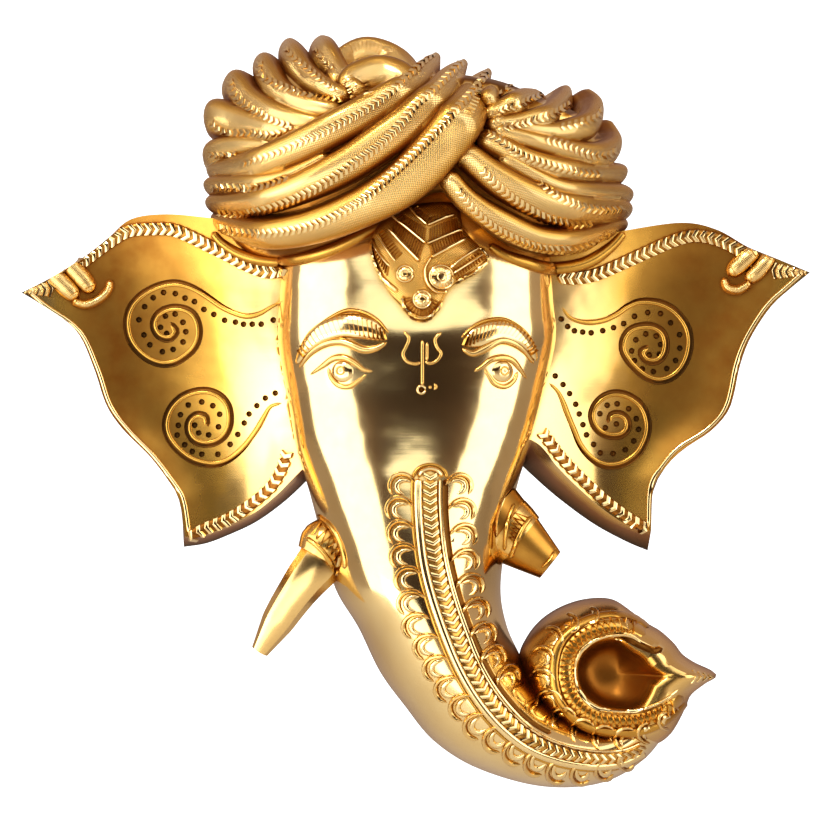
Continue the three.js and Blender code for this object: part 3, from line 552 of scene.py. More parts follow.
# Hollow and lug
# The casting is open at the back, with a wall of 4 mm. A lug behind the turban has the nail hole.
LUG = {"half_width": 15, "half_height": 14, "thick": 4, "nail_hole": 3.5}
BEHIND = 2  # how far the tools for the hollow stand out behind the wall
HOLLOW_TOP_UP = 16  # the head's hollow is carried up into the turban's
EAR_HOLLOW_IN = 24  # an ear's hollow is carried in under the cheek
CURL_HOLLOW_SHARE, CURL_HOLLOW_DEPTH, CURL_HOLLOW_COUNT = 0.86, 36, 40
BEHIND_WALL = ((-250, 0, -400), (250, 20, 200))  # nothing of the casting goes behind the wall


def box(low, high):
    """A plain box between two corners."""
    x, y = [low[0], high[0], high[0], low[0]], [low[1], low[1], high[1], high[1]]
    return loft([np.column_stack([x, y, np.full(4, height)]) for height in (low[2], high[2])])


def hollow_bodies():
    """The tools for the hollow: each form again, drawn in and lowered by the wall, and open at the back."""
    head_hollow = head_rings(steps=60, arch=30, inset=WALL, drop=WALL, back=-BEHIND)
    head_hollow[0, :, 2] += HOLLOW_TOP_UP
    curl_depths = (CURL_HOLLOW_DEPTH, -BEHIND)
    return [
        turban_core(inset=WALL, drop=ROLL_OVER_CORE + WALL, back=-BEHIND, count=60), loft(head_hollow),
        ear_hollow(LEFT_EAR, EAR_HOLLOW_IN), ear_hollow(RIGHT_EAR, -EAR_HOLLOW_IN),
        loft([curl_ring(CURL_HOLLOW_SHARE, depth, CURL_HOLLOW_COUNT) for depth in curl_depths]),
        box(*BEHIND_WALL),
    ]


def nail_hole():
    """The drill for the nail hole: a round bar along Y through the lug."""
    angle = np.linspace(0, 2 * np.pi, 32, endpoint=False)
    ring = at(LUG["nail_hole"] * np.cos(angle), LUG["nail_hole"] * np.sin(angle), 0)
    return loft([ring + (0, BEHIND, 0), ring - (0, 3 * LUG["thick"], 0)])


lug = box(
    (-LUG["half_width"], -LUG["thick"], -LUG["half_height"]), (LUG["half_width"], 0, LUG["half_height"]),
)


# Joining
# Everything above is one casting, so the bodies are made one, the hollow is taken out, and the lug is
# added and drilled.
def mesh_object(name, shape, inside=0.0):
    """A mesh object in metres, with the marks kept as attributes of its points."""
    mesh = bpy.data.meshes.new(name)
    mesh.from_pydata((shape["points"] * MM).tolist(), [], shape["triangles"].tolist())
    for key, form, kind, values in (
        ("weave", "FLOAT_VECTOR", "vector", shape["marks"][:, :3]),
        ("polish_and_shade", "FLOAT", "value", shape["marks"][:, 3]),
        ("inside", "FLOAT", "value", np.full(len(mesh.vertices), inside)),
    ):
        mesh.attributes.new(key, form, "POINT").data.foreach_set(kind, values.flatten())
    return bpy.data.objects.new(name, mesh)


def combine(base, operation, tools):
    """A new object: base with every tool joined to it, or taken from it."""
    scene = bpy.context.scene.collection
    shelf = bpy.data.collections.new("tools")
    for tool in tools:
        shelf.objects.link(tool)
    scene.objects.link(base)
    step = base.modifiers.new("combine", "BOOLEAN")
    step.solver = "MANIFOLD"
    step.operation = operation
    step.operand_type = "COLLECTION"
    step.collection = shelf
    mesh = bpy.data.meshes.new_from_object(base.evaluated_get(bpy.context.evaluated_depsgraph_get()))
    made = bpy.data.objects.new(base.name, mesh)
    for old in [base, *tools]:
        bpy.data.objects.remove(old)
    bpy.data.collections.remove(shelf)
    return made


forms_joined = [mesh_object("form", shape) for shape in turban + ears + tusks + [curl]]
casting = combine(mesh_object("casting", head), "UNION", forms_joined)
casting = combine(casting, "DIFFERENCE", [mesh_object("hollow", shape, 1.0) for shape in hollow_bodies()])
casting = combine(casting, "UNION", [mesh_object("lug", lug, 1.0)])
casting = combine(casting, "DIFFERENCE", [mesh_object("drill", nail_hole(), 1.0)])


# Turban chasing
# A row of chevrons was punched down every roll when the casting was cold, fans of short strokes cross
# some ends, and a plain rim closes the turban where it meets the face. All relief and every cut is drawn
# flat, as seen from the front, with a height for each point, and is then laid on the forms.
forms = mesh_object("forms", gather([head, curl, *ears]))
turban_forms = mesh_object("turban_forms", gather(turban))
for ground in (forms, turban_forms):
    bpy.context.scene.collection.objects.link(ground)
PROBE_START = 200  # depth that the probing rays start from
SLOPE_STEP = 1.2  # mm to each side
STEEPEST = 1.4  # the steepest slope that relief is raised square to
INWARD_STEPS = 7
LOWEST = 9  # depth below which a point lies on a side
NEAREST_WALL = 0.3
DEEPEST_FOOT = 3  # the relief's feet end inside the casting's wall
STRIP_END = 0.98  # how far a raised line's rounded ends go down


def front_depth(ground, x, z):
    """Depth of the foremost surface at places seen from the front, by projecting points along +Y, or 0
    beside the forms."""
    mesh = bpy.data.meshes.new("probe")
    mesh.vertices.add(len(x))
    mesh.vertices.foreach_set("co", (at(x, z, PROBE_START) * MM).ravel())
    probe = bpy.data.objects.new("probe", mesh)
    bpy.context.scene.collection.objects.link(probe)
    wrap = probe.modifiers.new("wrap", "SHRINKWRAP")
    wrap.target = ground
    wrap.wrap_method = "PROJECT"
    wrap.use_project_y = True
    wrap.use_positive_direction = True
    laid = probe.evaluated_get(bpy.context.evaluated_depsgraph_get()).data
    points = np.zeros(3 * len(x))
    laid.vertices.foreach_get("co", points)
    depth = -points[1::3] / MM
    bpy.data.objects.remove(probe)
    bpy.data.meshes.remove(mesh)
    return np.where(depth > PROBE_START - 1, 0, depth)


def drape(flat, ground=forms, middle=(0, -100), lowest=LOWEST):
    """Flat relief laid on the forms: each point (x, z, height) is put on the surface in front and raised
    square to it, with the surface's slope taken from its depth a little to each side. A point that would
    land on a side, below the lowest depth, is first moved towards a middle, 1 mm at a time."""
    x, z, high = flat["points"].T
    for _ in range(INWARD_STEPS):
        way = np.stack([middle[0] - x, middle[1] - z], 1)
        step = unit(way) * (front_depth(ground, x, z) < lowest)[:, None]
        x, z = x + step[:, 0], z + step[:, 1]
    e = SLOPE_STEP
    shift_x, shift_z = np.array([[0, e, -e, 0, 0], [0, 0, 0, e, -e]])[..., None]
    depth = front_depth(ground, (x + shift_x).ravel(), (z + shift_z).ravel())
    here = depth[:len(x)]
    right, left, above, below = np.where(depth < lowest, np.tile(here, 5), depth).reshape(5, -1)[1:]
    slope_x = np.clip((right - left) / (2 * e), -STEEPEST, STEEPEST)
    slope_z = np.clip((above - below) / (2 * e), -STEEPEST, STEEPEST)
    outward = unit(np.stack([-slope_x, np.full_like(x, -1), -slope_z], 1))
    points = at(x, z, here) + outward * high[:, None]
    buried = front_depth(forms, points[:, 0], points[:, 2]) - DEEPEST_FOOT
    points[:, 1] = np.minimum(points[:, 1], -np.maximum(buried, NEAREST_WALL))
    return body(points, flat["triangles"], flat["marks"])


def sides_of(line):
    """The ways forward along a flat line, and to its left, at each of its points."""
    forward = unit(np.gradient(line, axis=0))
    return forward, np.stack([-forward[:, 1], forward[:, 0]], 1)


def strip(route, half, rise, sink=1.0, arch=7, step=1.0, dark=0):
    """A raised line drawn flat: along a smooth route its section is an arch, half wide to each side and
    rise high, with straight sides down to sink below the surface. Both ends are rounded off. Its colour is
    darkened by an amount."""
    steps = max(4, int(length(route) / step))
    line = smooth(route, steps)
    t = np.linspace(0, 1, steps + 1)
    half, rise = (along(np.atleast_1d(v), t)[:, None] for v in (half, rise))
    from_end = np.minimum(t, 1 - t)[:, None] * length(route) / half
    full = np.sqrt(1 - STRIP_END * (1 - from_end.clip(0, 1)) ** 2)
    half, rise = half * full, rise * full
    angle = np.linspace(-np.pi / 2, np.pi / 2, arch)
    across = half * np.concatenate([[-1], np.sin(angle), [1]])
    foot = np.full_like(rise, -sink)
    high = np.hstack([foot, rise * np.cos(angle), foot])
    place = line[:, None] + sides_of(line)[1][:, None] * across[..., None]
    rings = np.concatenate([place, high[..., None]], -1)
    return loft(rings, marks=darkening_marks(np.full(steps + 1, dark), arch + 2))


def bars(start, end, width, rise, sink=0.8):
    """Roof-shaped bars from start to end places: a foot of four corners and a ridge down the middle."""
    count = len(start)
    run = unit(end - start)
    side = np.stack([-run[:, 1], run[:, 0]], 1) * width / 2
    inward = run * 0.3 * width
    corners = np.stack([start - side, start + side, end + side, end - side, start + inward, end - inward], 1)
    heights = np.broadcast_to([-sink] * 4 + [rise] * 2, (count, 6))
    points = np.concatenate([corners, heights[..., None]], -1).reshape(-1, 3)
    one = np.array([
        (1, 0, 4), (2, 1, 4), (2, 4, 5), (3, 2, 5), (0, 3, 5), (0, 5, 4), (0, 1, 2), (0, 2, 3),
    ])
    return body(points, (one + 6 * np.arange(count)[:, None, None]).reshape(-1, 3))


def vees(places, forward, side, lean, width, rise, sink=0.8):
    """Chevrons drawn flat at places: each is one bent bar from the end at one side through its tip to
    the other end, arched across, and lower at its ends."""
    ends = places - forward * lean
    stations = np.stack([ends - side, places, ends + side], 1)
    across = width * np.array([-0.5, -0.32, 0, 0.32, 0.5])
    spots = stations[:, :, None] + forward[:, None, None] * across[:, None]
    high = rise * np.outer([0.55, 1, 0.55], [0, 0.75, 1, 0.75, 0]) - sink * np.array([1, 0, 0, 0, 1])
    high = np.broadcast_to(high, spots.shape[:3])
    points = np.concatenate([spots, high[..., None]], -1).reshape(-1, 3)
    a = np.add.outer([0, 5], np.arange(5)).ravel()
    b = np.add.outer([0, 5], (np.arange(5) + 1) % 5).ravel()
    one = np.vstack([
        np.stack([a, a + 5, b], 1), np.stack([b, a + 5, b + 5], 1),
        [(0, 1, 2), (0, 2, 3), (0, 3, 4)], [(10, 12, 11), (10, 13, 12), (10, 14, 13)],
    ])
    return body(points, (one + 15 * np.arange(len(places))[:, None, None]).reshape(-1, 3))


def chevron_row(route, pitch, reach, lean, width, rise):
    """A row of chevrons drawn flat along a route, that point along it and reach out to each side."""
    line = smooth(route, int(length(route) / pitch))
    forward, side = sides_of(line)
    reach = along(np.atleast_1d(reach), np.linspace(0, 1, len(line)))[:, None]
    return vees(line, forward, side * reach, lean, width, rise)


# Rows of chevrons: half a row's width, and its middle line.
SWATH_ROWS = [
    (2.4, [
        (-84, -49.6), (-75.6, -51.9), (-66.4, -52.5), (-56.7, -51.9), (-48.3, -50.4), (-39.9, -47.9),
        (-31.5, -44.1), (-24.4, -39.5), (-18.1, -34.4), (-12.6, -29.4), (-7.1, -24.4), (-0.8, -18.5),
        (7.1, -10.3), (11.3, -5.9), (18.9, 2.9), (25.2, 10.9), (28.6, 16.4),
    ]),
    (2.4, [
        (-84, -43.3), (-75.6, -44.3), (-66.4, -43), (-58.8, -40.9), (-50.4, -37.6), (-42, -33.4),
        (-33.6, -28.3), (-25.2, -22.5), (-17.6, -17.2), (-11.8, -11.8), (-6.7, -5.9), (-1.7, 0.4), (5, 5.9),
        (10.5, 11.8), (14.7, 16.8), (17.6, 20.6),
    ]),
    (2.1, [
        (-73.1, -23.1), (-66.4, -21.4), (-58.8, -19.1), (-50.4, -15.5), (-42, -12), (-33.6, -7.6),
        (-26.9, -4.2), (-20.2, 0), (-14.3, 4.2), (-8.4, 9.2), (-3.4, 14.3), (1.7, 20.2), (5.9, 24.4),
    ]),
    (2.2, [(-85.7, -32.8), (-79.8, -33), (-73.5, -33.6), (-68, -33.4), (-63, -32.3), (-55.4, -29.8)]),
]
LEFT_BUN_ROWS = [
    (1.6, [(-87.4, -18.9), (-82.3, -19.3), (-77.3, -18.5)]),
    (1.9, [
        (-86.1, -6.7), (-83.2, -9), (-79, -10.1), (-74.3, -10.3), (-69.7, -10.3), (-64.7, -11.3),
        (-58.8, -10.9), (-53.3, -8.4),
    ]),
    (2, [
        (-79.4, 10.9), (-78.5, 7.6), (-76.4, 4.6), (-73.5, 2.1), (-70.6, 0), (-66.4, -2.5), (-60.5, -5.9),
        (-54.2, -7.6),
    ]),
    (1.9, [
        (-67.2, 18.5), (-67.2, 14.7), (-64.3, 12.2), (-58.8, 9.4), (-52.5, 6.7), (-46.2, 5), (-39.9, 4),
        (-32.8, 2.5),
    ]),
    (1.7, [(-55.4, 24.4), (-53.3, 21.8), (-50, 18.9), (-45.4, 15.1), (-40.3, 10.5), (-35.7, 7.1)]),
    (1.4, [(-43.3, 23.9), (-39.9, 19.7), (-36.5, 16.8)]),
]
RIGHT_BUN_ROWS = [
    (1.5, [(38.2, 9.7), (33.2, 5.5)]), (1.9, [(51.2, 6.3), (45.4, 2.9), (38.6, 0), (32.8, -1.7)]),
    (2.1, [(62.6, 2.1), (58.8, -0.8), (54.2, -3.4), (49.1, -5), (43.7, -6.9), (34.9, -9.2)]),
    (2.1, [(76, -0.8), (73.9, -3.8), (69.7, -5.5), (64.3, -7.1), (58.8, -8.4)]),
    (2.2, [
        (81.5, -17.8), (78.5, -19.3), (74.3, -19.7), (69.7, -19.1), (65.1, -17.6), (59.6, -15.5),
        (52.5, -13.9),
    ]),
    (2.1, [
        (28.6, -11.8), (32.8, -13.9), (36.1, -16.4), (39.9, -18.9), (44.1, -21.2), (48.3, -22.7),
        (52.9, -24.1), (61.3, -26), (69.3, -27.3), (75.6, -27.3),
    ]),
    (2.2, [
        (50.4, -32.3), (53.8, -34.9), (57.5, -37.4), (61.7, -39.5), (66.8, -41.2), (72.2, -42.2),
        (78.1, -42.4), (84.8, -41.6),
    ]),
    (2.5, [
        (26.9, -27.7), (32.3, -33.2), (35.7, -36.1), (39.1, -38.9), (42.8, -41.2), (46.6, -43.5),
        (50.8, -45.6), (55, -47.2), (60.1, -48.3), (65.5, -48.7), (71.4, -48.3),
    ]),
    (2.1, [
        (16.8, -36.1), (19.7, -39.9), (23.1, -43.7), (27.3, -47.5), (31.5, -50.6), (35.3, -52.9),
        (39.1, -54.6), (43.3, -56.5), (47.9, -58), (53.3, -59), (58.8, -59.2), (64.7, -58.8), (70.1, -57.3),
        (75.2, -55), (79, -52.1),
    ]),
]
ROW_TAPER = np.array([0.65, 0.82, 0.82, 0.7])
# Rows of strokes: half their length, and the row's middle line.
STROKE_ROWS = [
    (1.8, [(26.5, 13.9), (24.4, 7.6), (22.7, 2.1), (20.2, -3.8)]),
    (2.6, [(-30.2, 12.2), (-28.6, 8.8), (-26.9, 5)]),
    (2, [(-28.6, 25.2), (-24.4, 26.5), (-19.3, 26), (-15.1, 23.9)]),
    (2.2, [(-23.1, 10.1), (-21.8, 6.7), (-21, 3.8)]),
]
STROKE = {"pitch": 1.5, "width": 0.9, "rise": 0.5}
TURBAN_LAY = {"middle": (0, -15), "lowest": 20}
TURBAN_RIMS = [
    [
        (-87.4, -51.2), (-83.2, -55.9), (-75.6, -60.5), (-66.4, -63), (-56.7, -63.4), (-46.2, -61.7),
        (-35.7, -58.4), (-25.2, -53.3), (-16.8, -48.7), (-10.1, -43.7),
    ],
    [
        (28.6, -57.1), (35.7, -61.3), (42.8, -63.8), (52.5, -66.4), (63, -65.9), (72.2, -63), (80.6, -57.1),
        (86.1, -51.2),
    ],
]


def turban_chasing():
    """Chevrons down the rolls, in rows that narrow at both ends, and strokes square to their rows."""
    parts = []
    for half, route in SWATH_ROWS + LEFT_BUN_ROWS + RIGHT_BUN_ROWS:
        parts.append(chevron_row(route, pitch=2.5, reach=ROW_TAPER * half, lean=1.1, width=2.2, rise=0.9))
    for half, route in STROKE_ROWS:
        line = smooth(route, int(length(route) / STROKE["pitch"]))
        side = sides_of(line)[1] * half
        parts.append(bars(line - side, line + side, STROKE["width"], STROKE["rise"]))
    return gather(parts)


def turban_rims():
    """The plain rim under the turban, which narrows at both ends."""
    half, rise = [1.6, 2.6, 2.8, 2.6, 1.6], [1.5, 2.6, 2.8, 2.6, 1.5]
    return gather([strip(route, half, rise, sink=2.5, arch=11, dark=0.7) for route in TURBAN_RIMS])


relief = [drape(turban_chasing(), turban_forms, **TURBAN_LAY), drape(turban_rims())]


# Ear ornament
# A chased rope runs down from the knot to the turban, a row of chevrons along the lower edge, and two
# spirals, each a raised line with a cut beside it and punched dots that follow it.
EAR_ROPES = [
    [
        (-57.1, -67.4), (-64.3, -68), (-72.7, -65.1), (-80.6, -60.9), (-89, -56.7), (-96.6, -52.9),
        (-104.2, -50), (-112.6, -49.6), (-122.2, -50.4), (-130.2, -54.6), (-139.9, -61.7), (-145.7, -65.9),
    ],
    [
        (58.8, -70.1), (64.3, -70.6), (71.4, -69.7), (78.5, -67.2), (92.4, -60.9), (106.7, -54.6),
        (115.9, -52.5), (125.6, -54.2), (133.6, -58), (139.4, -62.2),
    ],
]
EAR_HEMS = [
    [
        (-56.3, -145.7), (-58, -150.8), (-62.2, -157.9), (-68, -163.4), (-74.8, -168.4), (-82.3, -172.6),
        (-91.6, -176.4), (-97, -179.8),
    ],
    [(52.5, -136.9), (59.6, -146.2), (69.3, -156.2), (78.5, -164.6), (87.8, -171.4), (95.3, -176)],
]
EAR_RIMS = [
    [
        (-166.3, -75.6), (-158.3, -82.7), (-144.1, -93.2), (-136.5, -109.2), (-131.5, -123.9),
        (-124.3, -134), (-113, -145.7), (-105, -156.2), (-100.4, -163.8), (-97.9, -178.9),
    ],
    [
        (163, -67.6), (155, -74.8), (147, -82.3), (138.6, -95.3), (134, -107.1), (131.5, -119.3),
        (128.5, -127.3), (121, -135.2), (109.6, -142.4), (102.5, -150.4), (97.9, -158.3), (97, -176),
    ],
]
# Each spiral: the side of its route that the raised line runs on, the route and its dots.
SPIRALS = [
    (-1, [
        (-57.5, -80.2), (-62.6, -82.7), (-68, -85.7), (-73.5, -86.5), (-78.5, -84.8), (-83.2, -82.3),
        (-91.1, -76.6), (-96.6, -73.5), (-102.9, -71.8), (-110.9, -73.1), (-118.9, -77.7), (-123.5, -84),
        (-124.3, -91.1), (-122.6, -97.4), (-118, -103.1), (-111.7, -106.7), (-104.6, -107.1),
        (-97.4, -103.1), (-93.5, -98.3), (-92.4, -92.8), (-93.5, -87.4), (-96.6, -83.7), (-101.3, -82.2),
        (-106.9, -82.6), (-111.3, -85.3), (-113.2, -89.7), (-112.1, -93.7), (-108.8, -96.4),
        (-105.4, -96.6), (-102.5, -94.5), (-102.5, -91.1), (-104.6, -88.9), (-106.9, -89.7),
    ], [
        (-61.7, -88.2), (-66.8, -89.9), (-70.6, -89.9), (-74.3, -89.9), (-77.7, -89), (-82.3, -88.2),
        (-86.9, -85.7), (-91.1, -83.6), (-95.1, -80.3), (-99.1, -78.8), (-103.2, -76.9), (-108.2, -76.4),
        (-112.6, -78.6), (-116.2, -82.4), (-118.6, -87.9), (-116.5, -94.3), (-114, -98.5), (-108.7, -101.4),
        (-104.2, -100.4), (-100, -97.3), (-98.8, -93), (-100, -89), (-103.3, -85.5), (-107.4, -86.4),
        (-109.5, -91.1), (-106.9, -93.7),
    ]),
    (1, [
        (-58.2, -123.1), (-62.4, -124.2), (-65.4, -128.5), (-69.6, -135.7), (-74.4, -142.3),
        (-80.4, -147.4), (-86.5, -149.6), (-93.1, -149), (-99.1, -146.2), (-104.6, -141.1),
        (-107.6, -135.7), (-107.9, -130.3), (-105.8, -124.9), (-101.6, -120.3), (-95.5, -117.6),
        (-88.9, -117.3), (-83.5, -119.7), (-80.1, -124.2), (-79.3, -129.7), (-80.4, -135.1),
        (-84.1, -139.3), (-89.5, -141.1), (-94.9, -139.9), (-97.9, -136.9), (-98.5, -132.1),
        (-96.7, -128.5), (-93.1, -127.1), (-89.8, -128.5), (-88.9, -131.5), (-90.1, -134.5),
    ], [
        (-60.9, -118.9), (-65.1, -121), (-68.7, -124.2), (-72, -127.7), (-74.1, -131.5), (-76.8, -136.3),
        (-80.1, -140.5), (-85.3, -144.7), (-92.1, -144.7), (-96.1, -143.5), (-99.3, -140.7),
        (-102.5, -136.6), (-102, -132.5), (-101.1, -128), (-97.8, -123.9), (-92.1, -122.6), (-87.4, -124.2),
        (-84.5, -127.8), (-85, -133.1), (-89.2, -136.5), (-93.4, -135.7), (-95.1, -132.4),
    ]),
    (1, [
        (59.8, -82.9), (63.5, -87.4), (70.9, -89.2), (78.3, -87.7), (84.2, -84.4), (88.6, -81.1),
        (93.7, -79.6), (101.1, -80), (107.7, -83.3), (112.9, -89.5), (114.7, -96.2), (113.7, -103.5),
        (110, -110.2), (103.3, -114.2), (96.7, -113.5), (90.8, -109.5), (86.4, -104.3), (84.5, -99.1),
        (86, -94), (89.3, -91), (94.5, -89.7), (100.4, -90.6), (104.1, -94.7), (104.4, -99.9),
        (102.6, -104.7), (98.2, -106.5), (93.7, -104.7), (92.7, -101), (94.8, -98.7), (98.2, -99.1),
    ], [
        (59.4, -87.8), (62.1, -90.9), (65, -92.7), (68.5, -93.2), (72.1, -93.5), (77, -92.6), (81.6, -91.3),
        (85.9, -89.6), (90.5, -86.5), (96.1, -84.9), (101.5, -85.3), (105.8, -89.2), (109.6, -94.2),
        (109.7, -99.9), (107.9, -105.1), (104.2, -108.5), (98.5, -109.8), (93.8, -108.7), (90.5, -105.2),
        (89.3, -101.1), (91.1, -96.4), (95.3, -93.9), (99.7, -94.8), (101.6, -98.4), (96.8, -102.8),
        (101.1, -102.5),
    ]),
    (-1, [
        (54.4, -114.8), (57.3, -117.3), (60.2, -122.6), (62.6, -129.3), (65, -135.6), (67.4, -141.4),
        (71.3, -146.2), (76.1, -149.6), (81.9, -150.3), (87.7, -148.6), (93, -144.3), (95.8, -138.9),
        (97.1, -133.2), (95.8, -126.9), (92.5, -122.1), (87.2, -118.9), (81.4, -118.2), (76.1, -120.4),
        (72.7, -124.5), (71.7, -129.3), (73.7, -134.1), (77.5, -137), (82.8, -137.8), (87.2, -136.1),
        (88.6, -132.2), (87.2, -128.4), (83.3, -126.7), (80, -127.8), (78.8, -130.7), (80.4, -132.7),
    ], [
        (56.9, -111.7), (60.2, -115.3), (63, -119.1), (65.6, -123.6), (67.1, -127.7), (68.7, -132.2),
        (70.2, -136.5), (73.3, -140.5), (76.1, -144.1), (81.5, -144.4), (86.7, -142.8), (90.3, -139.1),
        (92.3, -134.2), (91.3, -129.7), (88.1, -125.5), (83.2, -123.4), (79, -124), (75.9, -127.6),
        (78.2, -133.5), (82.9, -131.9),
    ]),
]
SPIRAL_LINE = {"beside": 1.45, "half": [0.5, 1.2, 1.1] + [0.75] * 9, "rise": [0.4, 1.0, 0.9] + [0.5] * 9}
SPIRAL_BESIDE = np.array([0, 0, 0.5] + [1] * 9)  # the tail runs on the route itself
SPIRAL_POINTS = 100
SPIRAL_TAIL = 12  # of those points, the bare raised tail
# The knot on each tip: loops with half their width, and a hatched end.
EAR_TIPS = [
    {"loops": [
        (3.8, [(-152, -61.3), (-148.3, -64.3), (-143.2, -69.7), (-137.8, -76.4)]),
        (3.8, [(-157.1, -65.1), (-153.7, -69.3), (-149.1, -74.3), (-144.1, -79)]),
        (1.9, [(-147, -79.8), (-141.1, -81.5), (-135.2, -79), (-131.5, -75.2), (-130.6, -71)]),
    ], "end": [(-165.9, -76), (-161.3, -75.6), (-155.4, -74.8)]},
    {"loops": [
        (3.6, [(142.8, -58.4), (138.6, -61.3), (134.4, -65.1), (130.2, -69.3)]),
        (3.3, [(148.7, -60.1), (145.7, -63.8), (142, -68), (137.3, -71.4)]),
        (1.9, [(139.9, -71.8), (134.8, -75.2), (129.8, -74.3), (128.1, -70.1)]),
    ], "end": [(162.1, -68), (157.5, -67.8), (153.3, -67.6), (149.1, -67.2)]},
]


def offset(route, distance, steps):
    """A line beside a smooth route: distance to its left, which may vary along it."""
    line = smooth(route, steps)
    beside = along(np.atleast_1d(distance), np.linspace(0, 1, steps + 1))
    return line + sides_of(line)[1] * beside[:, None]


def moved(flat, up=0, hatched=0, dark=0):
    """Flat relief raised by a height, with crossed hatching and an amount by which its colour is darkened.
    """
    points = flat["points"]
    marks = np.column_stack([points[:, :2], np.full((len(points), 2), (hatched, dark))])
    return {**flat, "points": points + (0, 0, up), "marks": marks}


def groove(route, half, deep, step=1.0):
    """A tool that cuts a round-bottomed groove along a route drawn flat."""
    return strip(route, half, -deep, sink=-2.0, arch=5, step=step)


def studs(centres, radius, rise, sides=10, sink=1.0):
    """Low round studs drawn flat: rings of a dome on a sunk foot."""
    angle = np.linspace(0, 2 * np.pi, sides, endpoint=False)
    circle = radius * np.stack([np.cos(angle), np.sin(angle)], 1)
    levels = [(1, -sink), (1, 0), (0.85, 0.55 * rise), (0.5, 0.88 * rise)]
    made = []
    for x, z in centres:
        rings = [np.column_stack([circle * share + (x, z), np.full(sides, high)]) for share, high in levels]
        made.append(loft(rings, last=np.array([x, z, rise])))
    return gather(made)


def pits(centres, radius, deep, sides=10):
    """Tools that punch round pits at places drawn flat."""
    return studs(centres, radius, -deep, sides, sink=-1.5)


def ear_tip(loops, hatched_end):
    """The knot on an ear's tip: ribbed loops and a hatched end with chevrons."""
    parts = []
    for half, route in loops:
        loop = strip(route, np.array([0.85, 1.08, 1.08, 0.85]) * half, [2.8, 3.6, 3.6, 2.8], sink=2, arch=11)
        line = smooth(route, int(length(route) / 2.2))[1:-1]
        forward, side = sides_of(line)
        side = side * half * 0.5
        ribs = bars(line - side - forward, line + side, width=0.8, rise=0.5)
        parts += [moved(loop, hatched=0.3, dark=0.2), moved(ribs, up=2.9)]
    end = strip(hatched_end, [0.8, 2.2, 3.6], rise=0.6, arch=9)
    vees_on_end = chevron_row(hatched_end, pitch=2.2, reach=[0.9, 3.4], lean=1.2, width=1.8, rise=0.9)
    return parts + [moved(end, hatched=0.6, dark=0.1), moved(vees_on_end, up=0.3)]


def ear_relief():
    """The ears' ropes, hems, spiral lines, rims and knots."""
    parts = []
    for rope in EAR_ROPES:
        vees_on_rope = chevron_row(rope[::-1], pitch=3.3, reach=2.52, lean=1.7, width=2.8, rise=1.1)
        parts += [strip(rope, half=2.8, rise=1.1, step=1.5, dark=0.9), moved(vees_on_rope, up=0.7)]
    for hem in EAR_HEMS:
        vees_on_hem = chevron_row(hem, pitch=3.7, reach=2.3, lean=1.3, width=2.9, rise=1.4)
        parts += [strip(hem, half=2.4, rise=0.8, dark=1.2), moved(vees_on_hem, up=0.4)]
    for way, route, _ in SPIRALS:
        line = offset(route, -SPIRAL_LINE["beside"] * way * SPIRAL_BESIDE, SPIRAL_POINTS)[::3]
        parts.append(strip(line, SPIRAL_LINE["half"], SPIRAL_LINE["rise"], step=1.5, dark=0.6))
    for rim, way in zip(EAR_RIMS, (1, -1)):
        parts.append(strip(offset(rim, 0.8 * way, 60)[::2], half=0.9, rise=0.7, step=2))
    for tip in EAR_TIPS:
        parts += ear_tip(tip["loops"], tip["end"])
    return gather(parts)


def ear_cuts():
    """The tools for the ears: the punch for the dots, and the spirals' grooves."""
    dots = gather([pits(dots, radius=1.3, deep=1.6) for _, _, dots in SPIRALS])
    routes = [smooth(route, SPIRAL_POINTS)[SPIRAL_TAIL::3] for _, route, _ in SPIRALS]
    return [dots, gather([groove(route, half=0.95, deep=1.1, step=1.4) for route in routes])]


relief.append(drape(ear_relief()))
cuts = ear_cuts()


# Brows, eyes and the mark between them
# The brows are hatched crescents in a plain rim, the eyes small almonds under long lids, and the mark is
# a three-pronged fork with a punched hole below it.
BROWS = [
    {"route": [
        (-51.7, -106.7), (-47.9, -100.8), (-43.3, -95.8), (-37.4, -92.4), (-31.5, -90.7), (-25.2, -91.1),
        (-19.7, -92.8), (-14.3, -96.2),
    ], "half": [0.8, 2.4, 3.8, 4.6, 5.2, 5.4, 4.4, 1.2], "upper": [
        (-51.7, -104.2), (-48.7, -98.3), (-43.7, -92.4), (-37, -87.4), (-30.2, -84.4), (-23.5, -85.3),
        (-17.6, -88.6), (-13, -94.1),
    ], "lower": [
        (-50.4, -108.4), (-45.8, -102.5), (-39.9, -98.7), (-33.6, -97.4), (-28.6, -98.7), (-23.5, -100.8),
        (-18.5, -100.4), (-13.9, -97.9),
    ], "way": 1},
    {"route": [
        (48.7, -105.4), (45.4, -99.5), (40.7, -95.8), (34.4, -93.2), (28.6, -94.1), (23.1, -96.2),
        (18.1, -98.7),
    ], "half": [0.8, 2.4, 3.8, 4.8, 5.2, 4.6, 1.4], "upper": [
        (49.1, -103.7), (46.2, -96.6), (41.6, -91.6), (34.9, -88.2), (28.1, -88.6), (22.3, -91.1),
        (17.2, -95.8),
    ], "lower": [
        (47.5, -106.7), (43.7, -101.6), (39.1, -98.3), (33.2, -97), (26.9, -100.4), (21.8, -102.5),
        (17.6, -100.4),
    ], "way": -1},
]
HAIRS = 23
